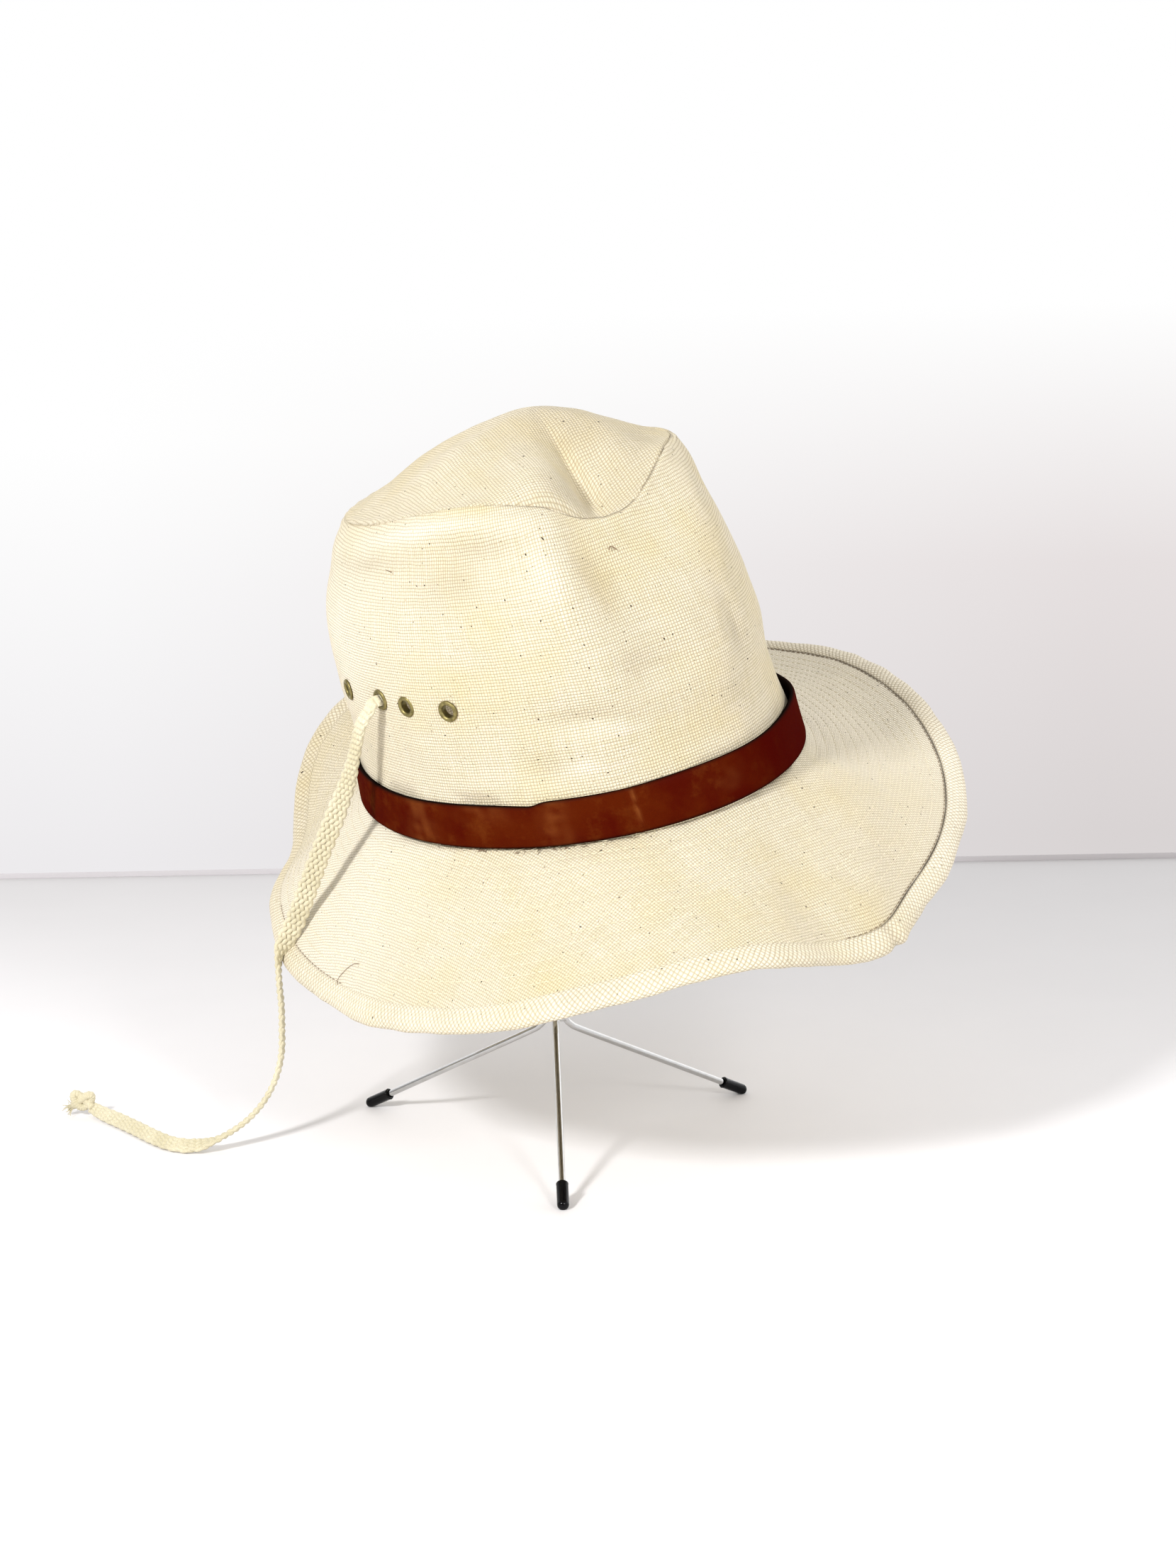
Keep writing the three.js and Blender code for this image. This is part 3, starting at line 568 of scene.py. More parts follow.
def tube(line, radius, sides):
    """Points and faces of a round tube along a line; the radius may change along it."""
    line = np.asarray(line, float)
    ahead = unit(np.gradient(line, axis=0))
    aside = np.cross(ahead[0], (0.3, 0.5, 0.8))  # square to a direction that no tube starts along
    cos, sin = (part[:, None] for part in circle(sides))
    rings = []
    for place, forward, thick in zip(line, ahead, np.broadcast_to(radius, len(line))):
        aside = unit(aside - forward * (aside @ forward))
        rings.append(place + thick * (cos * aside + sin * np.cross(forward, aside)))
    return np.vstack(rings), tube_faces(len(line), sides)


def joined(shapes):
    """Several (points, faces) shapes as one."""
    points, faces, start = [], [], 0
    for some, more in shapes:
        points.append(some)
        faces += [tuple(start + k for k in face) for face in more]
        start += len(some)
    return np.vstack(points), faces


def turned(profile, segments):
    """Points and faces of a closed outline of (radius, height) turned about Z."""
    radius, height = np.asarray(profile, float).T
    cos, sin = circle(segments)
    level = np.broadcast_to(height, (segments, len(height)))
    loops = np.stack([np.outer(cos, radius), np.outer(sin, radius), level], -1)
    return loops.reshape(-1, 3), skin(segments, len(height))[:, ::-1]


def aimed(points, place, direction):
    """Points that stand on +Z, turned to a direction and set at a place."""
    turn = np.array(Vector((0, 0, 1)).rotation_difference(Vector(direction)).to_matrix())
    return points @ turn.T + place


# The hat's surfaces, in its own frame
def around(values, angle):
    """A value from an evenly spaced table that closes on itself, at an angle round the hat."""
    values = np.asarray(values, float)
    count = len(values)
    place = np.mod(angle, 360) * count / 360
    i = np.floor(place).astype(int)
    return curved(*(values[(i + k) % count] for k in (-1, 0, 1, 2)), place - i)


def between(values, share):
    """A value from an evenly spaced open table, at a share from 0 to 1."""
    last = len(values) - 1
    place = np.clip(share, 0, 1) * last
    i = np.minimum(np.floor(place).astype(int), last - 1)
    longer = run_on(values)
    return curved(*(longer[i + k] for k in range(4)), place - i)


def aside_of(angle, middle):
    """Degrees from a middle angle, from -180 to 180."""
    return np.mod(angle - middle + 180, 360) - 180


def bell(away, width):
    """1 in the middle, falling smoothly to almost nothing two widths away."""
    return np.exp(-(away / width) ** 2)


def bumps(rows, angle):
    """Sum of smooth bumps round the hat, each with an angle, an amount and a width."""
    return sum(amount * bell(aside_of(angle, middle), wide) for middle, amount, wide in rows)


def stretches(rows, angle):
    """Sum of even stretches round the hat with soft ends."""
    return sum(amount / (1 + np.exp((np.abs(aside_of(angle, middle)) - half) / soft))
               for middle, amount, half, soft in rows)


def patches(rows, angle, share):
    """Sum of smooth patches of the cloth, such as dents or soil, at angles and shares of the way."""
    return sum(amount * bell(aside_of(angle, middle), wide) * bell(share - level, tall)
               for middle, level, amount, wide, tall in rows)


def side_point(angle, share):
    """Outside of the crown's side; share runs from 0 at the foot to 1 at the seam."""
    sin, cos = np.sin(np.radians(angle)), np.cos(np.radians(angle))
    dent = patches(SIDE_DENTS, angle, share)
    lengthwise = np.where(cos >= 0, between(CROWN["front"], share), between(CROWN["back"], share)) - dent
    sideways = np.where(sin >= 0, between(CROWN["right"], share), between(CROWN["left"], share)) - dent
    return np.stack([-sideways * sin, -lengthwise * cos, share * around(SEAM, angle)], -1)


def tip_point(angle, share):
    """Top of the tip; share runs from 0 at the peak to 1 at the seam."""
    seam = side_point(angle, np.ones_like(share))
    spread = np.hypot(share, DOME_ROUND) - DOME_ROUND
    rise = np.clip(1 - spread / (math.hypot(1, DOME_ROUND) - DOME_ROUND), 0, 1) ** DOME_FULLNESS
    flat = PEAK[:2] + (seam[..., :2] - PEAK[:2]) * share[..., None]
    height = seam[..., 2] + (PEAK[2] - seam[..., 2]) * rise - patches(TIP_DENTS, angle, share)
    return np.concatenate([flat, height[..., None]], -1)


def brim_plan(angle, reach):
    """The brim's cut laid flat: a place that far from the crown's foot, and the way out there."""
    sin, cos = np.sin(np.radians(angle)), np.cos(np.radians(angle))
    foot = np.stack([-CROWN["right"][0] * sin, -CROWN["front"][0] * cos], -1)
    outward = unit(np.stack([-sin / CROWN["right"][0], -cos / CROWN["front"][0]], -1))
    return foot + outward * reach[..., None], outward


def brim_point(angle, reach):
    """Top of the brim; reach is measured from the crown along the cloth."""
    foot, outward = brim_plan(angle, np.zeros_like(reach))
    root = np.radians(around(BRIM_ROOT, angle))
    turn = np.radians(around(BRIM_EDGE, angle)) - root
    steps = 12
    out, down = np.zeros_like(reach), np.zeros_like(reach)
    for k in range(steps):
        slope = root + turn * reach * (k + 0.5) / (steps * BRIM_WIDTH)
        out += np.cos(slope) * reach / steps
        down += np.sin(slope) * reach / steps
    for middle, pulled, dropped, wide in WAVES:
        size = (reach / BRIM_WIDTH) ** 2 * bell(aside_of(angle, middle), wide)
        out += pulled * size
        down += dropped * size
    return np.concatenate([foot + outward * out[..., None], -down[..., None]], -1)


LEAN = math.radians(HAT_ROLL)
HAT_AXES = np.array([[math.cos(LEAN), 0, math.sin(LEAN)], [0, 1, 0], [-math.sin(LEAN), 0, math.cos(LEAN)]])
HAT_PLACE = STAND_AXIS + HAT_BASE


def placed(points):
    """Points of the hat's own frame, in the part's frame."""
    return HAT_PLACE + np.asarray(points) @ HAT_AXES


def ring_grid(columns, rows):
    """Angles and second values of a grid whose columns start at the back."""
    angles = 180 + np.arange(columns) * 360 / columns
    return np.meshgrid(angles, rows, indexing="ij")


def ring_cloth(run, across):
    """Places along the cloth of a grid whose columns lie that far round, from their places across it."""
    return np.stack([np.broadcast_to(run[:, None], across.shape), across], -1)


# Camera at the photograph's angle
CAMERA_AZIMUTH, CAMERA_PITCH, CAMERA_ROLL = (math.radians(a) for a in (-38.0, 11.6, -1.6))
CAMERA_ASIDE, CAMERA_HEIGHT, CAMERA_FAR = 16.2, 147.8, 1200.0  # what it aims at, and from how far
CAMERA_LENS = 67.96  # for the usual 36 mm sensor along the picture's height

right = Vector((math.cos(CAMERA_AZIMUTH), math.sin(CAMERA_AZIMUTH), 0))
away = Vector((-right.y, right.x, 0))
forward = away * math.cos(CAMERA_PITCH) - Vector((0, 0, math.sin(CAMERA_PITCH)))
up = right.cross(forward)
tilted_right = right * math.cos(CAMERA_ROLL) + up * math.sin(CAMERA_ROLL)
tilted_up = up * math.cos(CAMERA_ROLL) - right * math.sin(CAMERA_ROLL)
aim = Vector(STAND_AXIS) + right * CAMERA_ASIDE + Vector((0, 0, CAMERA_HEIGHT))
camera = bpy.data.objects.new("camera", bpy.data.cameras.new("camera"))
camera.data.lens = CAMERA_LENS
camera.matrix_world = Matrix.Translation((aim - forward * CAMERA_FAR) * MM) @ Matrix(
    (tilted_right, tilted_up, -forward)).transposed().to_4x4()
bpy.context.scene.collection.objects.link(camera)
bpy.context.scene.camera = camera

# The cord: a flat braid of seven strands
STRANDS, STRAND_SIDES = 7, 8
PLAIT, PLAIT_STEPS = 5.5, 16  # length of one plait along the cord, and the steps it is made in
STRAND_WIDE, STRAND_THICK = 0.98, 0.8  # half sizes of a strand
WEAVE_RISE = 0.5  # how far a strand rises and sinks at a crossing
EDGE_TURN, EDGE_SOFT = 0.985, 0.06  # how sharply a strand turns back at the edge, and changes face there
LEAST_HEIGHT = 0.1  # over the floor


def cord_frame():
    """Even points along the cord, the directions of its width and its face, and its share of full width."""
    fine = 40  # steps between two points of the route
    tiny = 1e-6  # keeps the turns out of the length that is measured
    line = smooth_line(CORD_ROUTE, fine)
    turns = np.array([(at, *direction, share) for at, direction, share in CORD_TURNS], float)
    spread = at_distances(np.arange(len(line)) / fine, turns[:, 0], turns[:, 1:])
    rows = evenly(np.hstack([line, spread * tiny]), PLAIT / PLAIT_STEPS)
    path = rows[:, :3] + STAND_AXIS
    ahead = unit(np.gradient(path, axis=0))
    width = unit(rows[:, 3:6] - ahead * (rows[:, 3:6] * ahead).sum(1, keepdims=True))
    return path, width, np.cross(ahead, width), rows[:, 6] / tiny


def chin_cord():
    path, width, face, share = cord_frame()
    length = distances(path)[-1]
    run = np.linspace(0, length, len(path))
    half = (CORD_WIDTH / 2 - STRAND_WIDE) * share
    cos, sin = (part[None, :, None] for part in circle(STRAND_SIDES))
    faces = [corners[::-1] for corners in tube_faces(len(path), STRAND_SIDES)]
    shapes = []
    for k in range(STRANDS):
        phase = 2 * math.pi * (run / (STRANDS * PLAIT) + k / STRANDS)
        across = np.arcsin(EDGE_TURN * np.sin(phase)) / math.asin(EDGE_TURN)
        heading = np.cos(phase) / np.sqrt(np.cos(phase) ** 2 + EDGE_SOFT)
        rise = WEAVE_RISE * heading * np.sin(2 * math.pi * run / PLAIT)
        middle = path + width * (across * half)[:, None] + face * (rise / share ** 0.5)[:, None]
        aside = unit(np.cross(unit(np.gradient(middle, axis=0)), face))
        rings = middle[:, None] + cos * aside[:, None] * STRAND_WIDE + sin * face[:, None] * STRAND_THICK
        rings[..., 2] = np.maximum(rings[..., 2], LEAST_HEIGHT)
        shapes.append((rings.reshape(-1, 3), faces))
    made = piece("chin_cord_braid", *joined(shapes), braid_cotton, "cotton_braid", ["chin_cord"])
    return made, path, length


def overhand_knot(name, start, direction, upward, stands_for):
    """A tight overhand knot with a frayed end; its strand starts at a place and runs along a direction."""
    size, thick = 1.4, 1.75  # millimetres to a unit of the curve, radius of the bunched braid
    t = np.linspace(-2.0, 2.0, 120)
    curve = np.stack([t ** 3 - 3 * t, t ** 4 - 4 * t ** 2, t ** 5 / 5 - 2 * t], 1) * size
    ahead = unit(np.asarray(direction, float))
    rise = unit(upward - ahead * (ahead @ upward))
    axes = np.stack([np.cross(rise, ahead), -rise, ahead])
    line = start + (curve - curve[0]) @ axes
    shapes = [tube(line, thick * (1 + 0.06 * np.sin(t * 40)), 14)]
    draw = np.random.default_rng(11)
    tail = unit(line[-1] - line[-3])
    hairs, points = 26, 6
    share = np.linspace(0, 1, points)[:, None]
    for _ in range(hairs):
        way = unit(tail + draw.normal(size=3) * 0.35)
        bend = draw.normal(size=3) * 1.2
        begin = line[-1] + draw.normal(size=3) * 0.5
        reach = draw.uniform(2.2, 4.0)
        hair = begin + way * reach * share + bend * share * share
        hair[:, 2] = np.maximum(hair[:, 2], 3 * LEAST_HEIGHT)
        shapes.append(tube(hair, np.linspace(0.3, 0.12, points), 5))
    return piece(name, *joined(shapes), braid_cotton, "cotton_braid", stands_for)


braid, cord_path, cord_length = chin_cord()
end_way = cord_path[-1] - cord_path[-6]
end_knot = overhand_knot("end_knot_braid", cord_path[-1], end_way, np.array([0.0, 0.0, 1.0]),
                         ["cord_end_knot"])
stop_way = cord_path[0] - cord_path[5]
stop_knot = overhand_knot("stop_knot_braid", cord_path[0], stop_way, np.array([0.0, 0.3, 1.0]),
                          ["cord_stop_knot"])

# Crown side
CROWN_COLUMNS = 400
SIDE_ROWS, TIP_ROWS, SEAM_ROWS = 74, 40, 16  # the last lie close together beside the seam
GROOVE_DEEP, GROOVE_WIDE = 1.5, 0.9
RIDGE_HIGH, RIDGE_WIDE = 0.4, 1.4
THREAD_DEEP, THREAD_WIDE = 0.3, 0.6  # how the thread cuts into the ridge
PUCKER, PUCKER_LONG, PUCKER_SEED = 0.35, 7, 3  # unevenness of the seam, the same on both its sides
HOLE_PLAY = 0.1  # round an eyelet's tube


def seam_form(angle, from_seam, points):
    """Height of the cloth that far from the seam: a sharp groove near the front, a soft ridge elsewhere."""
    groove = stretches(SEAM_GROOVE, angle)
    ridge = RIDGE_HIGH * bell(from_seam - RIDGE_WIDE, RIDGE_WIDE) - THREAD_DEEP * bell(from_seam, THREAD_WIDE)
    pucker = 1 + PUCKER * rumple(points, PUCKER_LONG, PUCKER_SEED)
    return pucker * ((1 - groove) * ridge - GROOVE_DEEP * groove * bell(from_seam, GROOVE_WIDE))


def seam_soil_and_shade(angle, from_seam):
    """Soil along the seam's thread, and painted shade on it where the seam lies sunk in its groove."""
    return (0.12 + 0.6 * stretches(SEAM_GROOVE, angle)) * bell(from_seam, THREAD_WIDE)


def eyelet_places():
    """Name, place on the outside of the side and outward direction of each eyelet."""
    found = []
    step, lift = 0.5, 0.01  # degrees and share to the points that give the direction
    for side in ("right", "left"):
        for k, (angle, height) in enumerate(EYELETS):
            turn = angle if side == "right" else 360 - angle
            share = np.array(height / around(SEAM, turn))
            rise = side_point(turn, share + lift) - side_point(turn, share - lift)
            run = side_point(turn + step, share) - side_point(turn - step, share)
            found.append((f"eyelet_{side}_{k + 1}", side_point(turn, share), unit(np.cross(rise, run))))
    return found


def pierced(outer, inner, faces, radius):
    """Faces of a wall of two grids, with round holes cut for the eyelets and their edges lined."""
    columns, rows = outer.shape[:2]
    count = 2 * rows
    gone = np.zeros(len(faces), bool)
    lining = []
    middles = there_and_back(outer, inner)[faces].mean(1)
    column, row = np.divmod(np.arange(len(faces)), count)
    for _, place, out in eyelet_places():
        offset = middles - place
        flat = offset - (offset @ out)[:, None] * out
        near = (np.linalg.norm(offset, axis=1) < radius + 3) & (row < rows - 1)
        hole = near & (np.linalg.norm(flat, axis=1) < radius)
        gone |= hole
        cells = {(column[f], row[f]) for f in np.flatnonzero(hole)}
        for c, r in cells:
            gone[c * count + (count - 2 - r)] = True
            ring = [(c, r), (c, r + 1), (c + 1, r + 1), (c + 1, r)]
            beside = [(c - 1, r), (c, r + 1), (c + 1, r), (c, r - 1)]
            for k in range(4):
                if beside[k] in cells:
                    continue
                edge = [(i % columns, j) for i, j in (ring[k], ring[(k + 1) % 4])]
                front = [i * count + j for i, j in edge]
                behind = [i * count + count - 1 - j for i, j in edge]
                lining.append((*front, *behind[::-1]))
                for grid, depth in ((outer, 0.0), (inner, CANVAS)):
                    for spot in edge:
                        outward = grid[spot] - (place - out * depth)
                        outward = outward - out * (outward @ out)
                        grid[spot] += outward * (radius / np.linalg.norm(outward) - 1)
    return [tuple(face) for face in faces[~gone]] + lining


def closing_rows(first, close, count):
    """Shares of a grid's rows: even ones from the first, then ones close together beside the seam."""
    even = np.linspace(first, close, count, endpoint=False)
    return np.concatenate([even, np.linspace(close, 1, SEAM_ROWS)])


def crown_side():
    close = 0.955  # from this share up the rows lie close together
    rows = closing_rows(0, close, SIDE_ROWS)
    angle, share = ring_grid(CROWN_COLUMNS, rows)
    outer = side_point(angle, share)
    height = share * around(SEAM, angle)
    below = around(SEAM, angle) - height
    held = 1 - bell(1 - share, 0.022)  # the seam holds the cloth
    back_radius = 90
    from_back = np.radians(np.abs(aside_of(angle, 180))) * back_radius  # the side's own seam runs up the back
    relief = (seam_form(angle, below, outer) - held * patches(SIDE_CREASES, angle, share)
              + 0.25 * rumple(outer, 34, 5) + 0.12 * rumple(outer, 11, 6) - 0.6 * bell(from_back, 0.8))
    outer = outer + normals(outer) * relief[..., None]
    inner = outer - CANVAS * normals(outer)
    faces = pierced(outer, inner, skin(CROWN_COLUMNS, 2 * len(rows)), EYELET_BARREL / 2 + HOLE_PLAY)
    run, length = ring_run(side_point(angle[:, 0], np.full(CROWN_COLUMNS, 0.5)))
    cloth = ring_cloth(run, height)
    usual_height = 120
    # Darker in a broken line just above the band's top edge
    over_band = bell(share * usual_height - BAND_HEIGHT - 1, 2.5) * np.clip(0.5 + rumple(outer, 20, 9), 0, 1)
    # Darkening along the seam and above the band, and painted shade in the folds' hollows
    soil_and_shade = np.clip(seam_soil_and_shade(angle, below) + 0.3 * over_band + patches(SIDE_FOLD_SHADE, angle, share), 0, 1)
    # Painted light on the folds' ridges
    lightened = np.clip(patches(SIDE_RIDGE_LIGHT, angle, share), 0, 1)
    paint = {"soil_and_shade": there_and_back(soil_and_shade, 0 * soil_and_shade), "painted_light": there_and_back(lightened, 0 * lightened)}
    return piece("crown_side_cloth", placed(there_and_back(outer, inner)), faces, canvas, "canvas",
                 ["crown_side"], there_and_back(cloth, cloth), length, paint)


# Crown tip
def crown_tip():
    eye = 0.03  # a fan closes the peak up to this share
    close = 0.93  # from this share out the rows lie close together
    radius = 66  # from the peak to the seam
    rows = closing_rows(eye, close, TIP_ROWS)
    angle, share = ring_grid(CROWN_COLUMNS, rows)
    top = tip_point(angle, share)
    inside = (1 - share) * radius
    held = 1 - bell(1 - share, 0.05)
    uneven = 0.25 * rumple(top, 30, 15) + 0.1 * rumple(top, 10, 16)
    relief = (seam_form(angle, inside, top) - held * patches(TIP_CREASES, angle, share)
              + uneven * np.clip((share - eye) * 6, 0, 1))
    top = top - normals(top) * relief[..., None]
    under = top + CANVAS * normals(top)
    count = 2 * len(rows)
    faces = [tuple(face) for face in skin(CROWN_COLUMNS, count, closed=False)]
    bottom = CROWN_COLUMNS * count
    peak = bottom + 1
    for i in range(CROWN_COLUMNS):
        here, beside = i * count, (i + 1) % CROWN_COLUMNS * count
        faces.append((bottom, here, beside))
        faces.append((here + count - 1, peak, beside + count - 1))
    points = np.vstack([there_and_back(under, top), under[:, 0].mean(0), top[:, 0].mean(0)])
    grain = math.radians(18)  # how the weave lies
    cos, sin = math.cos(grain), math.sin(grain)
    cloth = points[:, :2] @ np.array([[cos, sin], [-sin, cos]])
    # Painted shade: the tip is greyed, most towards its front left and near the peak
    tip_shade = (0.05 + stretches(TIP_PAINTED_SHADE, angle)) * np.clip(1.2 - 1.2 * share, 0.4, 1)
    tip_shade = tip_shade * (1 + 0.4 * rumple(top, 24, 18))
    soil_and_shade = np.clip(seam_soil_and_shade(angle, inside) + tip_shade + patches(TIP_FOLD_SHADE, angle, share), 0, 1)
    paint = {"soil_and_shade": np.append(there_and_back(0 * soil_and_shade, soil_and_shade), [0, 0])}
    return piece("crown_tip_cloth", placed(points), faces, canvas, "canvas", ["crown_tip"], cloth,
                 paint=paint)


# Brim: two layers of canvas quilted with rings of stitches
BRIM_COLUMNS, BRIM_ROWS, HEM_COLUMNS, STITCH_COLUMNS = 420, 104, 640, 720
HEM_START = BRIM_WIDTH - HEM_WIDTH
STITCH_ROWS = np.arange(7.0, 62.0, 4.8)  # reach of each ring
QUILT_DEEP, QUILT_WIDE = 0.2, 0.8  # how a ring of stitches pulls the cloth in
BRIM_STITCH = (3.1, 2.3, 0.2)  # step, length, half the thickness
HEM_STITCH = (2.9, 2.0, 0.15)


def brim_relief(angle, reach, smooth):
    """How far the brim's top stands above its smooth form."""
    quilt = QUILT_DEEP * sum(bell(reach - row, QUILT_WIDE) for row in STITCH_ROWS)
    # The crown and the hem hold the cloth flat
    fade = np.clip(reach / 8, 0, 1) * np.clip((BRIM_WIDTH + 6 - reach) / 34, 0, 1)
    uneven = 0.7 * rumple(smooth, 38, 25) + 0.16 * rumple(smooth, 12, 26)
    return fade * uneven - quilt - patches(BRIM_CREASES, angle, reach)


def brim_top(angle, reach):
    smooth = brim_point(angle, reach)
    return smooth - normals(smooth) * brim_relief(angle, reach, smooth)[..., None]


def brim_cloth():
    angle, reach = ring_grid(BRIM_COLUMNS, np.linspace(0, HEM_START, BRIM_ROWS))
    top = brim_top(angle, reach)
    under = top + CANVAS * normals(top)
    # Painted shade: a dark line along the hem's crease
    crease = 0.8 * stretches(HEM_CREASE, angle) * bell(HEM_START - reach, 0.5)
    crease = crease * np.clip(0.75 + 0.5 * rumple(top, 12, 31), 0, 1)
    # Darker along the root beside the band
    root = 0.7 * bell(reach, 1.6) * np.clip(0.5 + 0.6 * rumple(top, 14, 32), 0, 1)
    soil_and_shade = np.clip(crease + root, 0, 1)
    # Painted light: the brim is painted paler
    painted_light = stretches(BRIM_PAINTED_LIGHT, angle)
    cloth = brim_plan(angle, reach)[0]
    layers = ((top, under), (cloth, cloth), (soil_and_shade, 0.3 * soil_and_shade), (painted_light, painted_light))
    # In along the top and out along the underside
    points, places, soil_and_shade, painted_light = (there_and_back(over[:, ::-1], below[:, ::-1]) for over, below in layers)
    return piece("brim_cloth", placed(points), skin(BRIM_COLUMNS, 2 * BRIM_ROWS), canvas, "canvas", ["brim"],
                 places, paint={"soil_and_shade": soil_and_shade, "painted_light": painted_light})


def brim_hem():
    """The rolled edge: a bias strip wrapped round the brim, plumper in places, with a join near the front."""
    half, sides, overlap = HEM_THICK / 2, 22, 0.3
    neck = math.pi - math.asin(CANVAS / HEM_THICK)  # how far round the roll meets the brim's faces
    across = (HEM_WIDTH - overlap) / (1 - math.cos(neck))
    angle, around_it = ring_grid(HEM_COLUMNS, neck * (2 * np.linspace(0, 1, sides) - 1))
    edge = brim_top(*ring_grid(HEM_COLUMNS, HEM_START + np.array([-2, -1, 0])))
    along = unit(edge[:, 2] - edge[:, 0])[:, None]
    down = normals(edge)[:, 1][:, None]
    middle = edge[:, 2][:, None] + down * CANVAS / 2 + along * overlap
    join = bumps(HEM_JOIN, angle)
    plump = 1 + 0.05 * rumple(middle, 26, 41) + 0.02 * rumple(middle, 7, 42)
    plump = plump * (1 - 0.22 * join) + bumps(HEM_LUMP, angle)
    outwards = across * (np.cos(around_it) - math.cos(neck)) * (0.5 + 0.5 * plump)
    # A full roll with a crease beside it on the far side; on the near side it swells gently out of the brim
    crease = stretches(HEM_CREASE, angle)
    gentle = 1 - crease.clip(0, 1)
    share = np.clip(outwards / (0.7 * HEM_WIDTH), 0, 1)
    flush = gentle * (1 - share * share * (3 - 2 * share))
    round_form = half * plump * np.sin(around_it)
    form = round_form + flush * (np.sign(around_it) * (CANVAS / 2 + 0.04) - round_form)
    tucked = 0.9 * gentle * (1 - share)
    points = middle + along * (outwards - tucked)[..., None] - down * form[..., None]
    run, length = ring_run(points[:, sides // 2])
    cloth = ring_cloth(run, around_it * (half + HEM_WIDTH) / 3).reshape(-1, 2)
    # Painted shade inside the hem's crease, with soil at the join and here and there
    inward = crease * bell(neck - np.abs(around_it), 0.12)
    soil_and_shade = np.clip(0.7 * inward + 0.2 * join + 0.06 * np.clip(rumple(points, 30, 44), 0, 1), 0, 1)
    # Painted light: the hem is painted paler
    return piece("brim_hem", placed(points.reshape(-1, 3)), skin(*angle.shape), bias_canvas, "canvas",
                 ["brim_edge"], cloth, length, {"soil_and_shade": soil_and_shade, "painted_light": stretches(HEM_PAINTED_LIGHT, angle)})


def stitches(rows, step, long, half):
    """Points and faces of plump stitches along closed rows of (points, outward directions, where to sew)."""
    stations = np.array([-1, -0.6, 0, 0.6, 1]) * long / 2
    plump = np.array([0.3, 0.9, 1.0, 0.9, 0.3])
    lift = np.array([-0.5, 0.5, 0.8, 0.5, -0.5])
    sides, size = 4, 4 * len(stations)  # corners of a stitch's section, and its points
    one = np.array(tube_faces(len(stations), sides))[:, ::-1]
    shapes, start = [], 0
    for line, out, sewn in rows:
        closed, outs, where = (np.concatenate([values, values[:1]]) for values in (line, out, sewn))
        far = distances(closed)
        count = int(far[-1] / step)
        begin = np.arange(count) * far[-1] / count
        begin = begin[np.interp(begin, far, where) > 0.5]
        at = (begin[:, None] + stations + long) % far[-1]
        place = at_distances(at, far, closed)
        away_from = unit(at_distances(at, far, outs))
        ahead = unit(place[:, -1] - place[:, 0])[:, None]
        aside = np.cross(away_from, np.broadcast_to(ahead, away_from.shape))
        middle = place + away_from * (half * lift)[:, None]
        thick = (half * plump)[None, :, None]
        ring = np.stack([middle + way * thick for way in (aside, away_from, -aside, -away_from)], 2)
        first = start + np.arange(len(begin))[:, None, None] * size
        shapes.append((ring.reshape(-1, 3), (first + one[None]).reshape(-1, sides)))
        start += len(begin) * size
    points, faces = zip(*shapes)
    return np.vstack(points), np.vstack(faces)


def brim_stitching():
    near = 0.4  # rows beside each ring, which give its slope
    top = brim_top(*ring_grid(STITCH_COLUMNS, np.add.outer(STITCH_ROWS, (-near, 0, near)).ravel()))
    out = -normals(top)
    everywhere = np.ones(STITCH_COLUMNS)
    rows = [(top[:, k], out[:, k], everywhere) for k in range(1, top.shape[1], 3)]
    points, faces = stitches(rows, *BRIM_STITCH)
    return piece("brim_stitching", placed(points), faces, ecru_thread, "canvas")


def hem_stitching():
    """The row of dark stitches that holds the hem, sunk in the crease and hidden where that is closed."""
    angle, reach = ring_grid(STITCH_COLUMNS, HEM_START + np.array([-1.2, -0.7, -0.2]))
    grid = brim_top(angle, reach)
    down = normals(grid)[:, 1]
    sunk = 0.1
    row = (grid[:, 1] - sunk * down, -down, stretches(HEM_CREASE, angle[:, 0]) > 0.1)
    points, faces = stitches([row], *HEM_STITCH)
    return piece("hem_stitching", placed(points), faces, brown_thread, "canvas")


side_cloth = crown_side()
tip_cloth = crown_tip()
brim_piece = brim_cloth()
hem = brim_hem()
quilting = brim_stitching()
hem_row = hem_stitching()

# Leather band
BAND_COLUMNS = 720
BAND_GAP = 0.3  # to the crown
NOTCH, NOTCH_DEEP = 52, 1.9  # angle at which the band's top edge steps down, and by how much


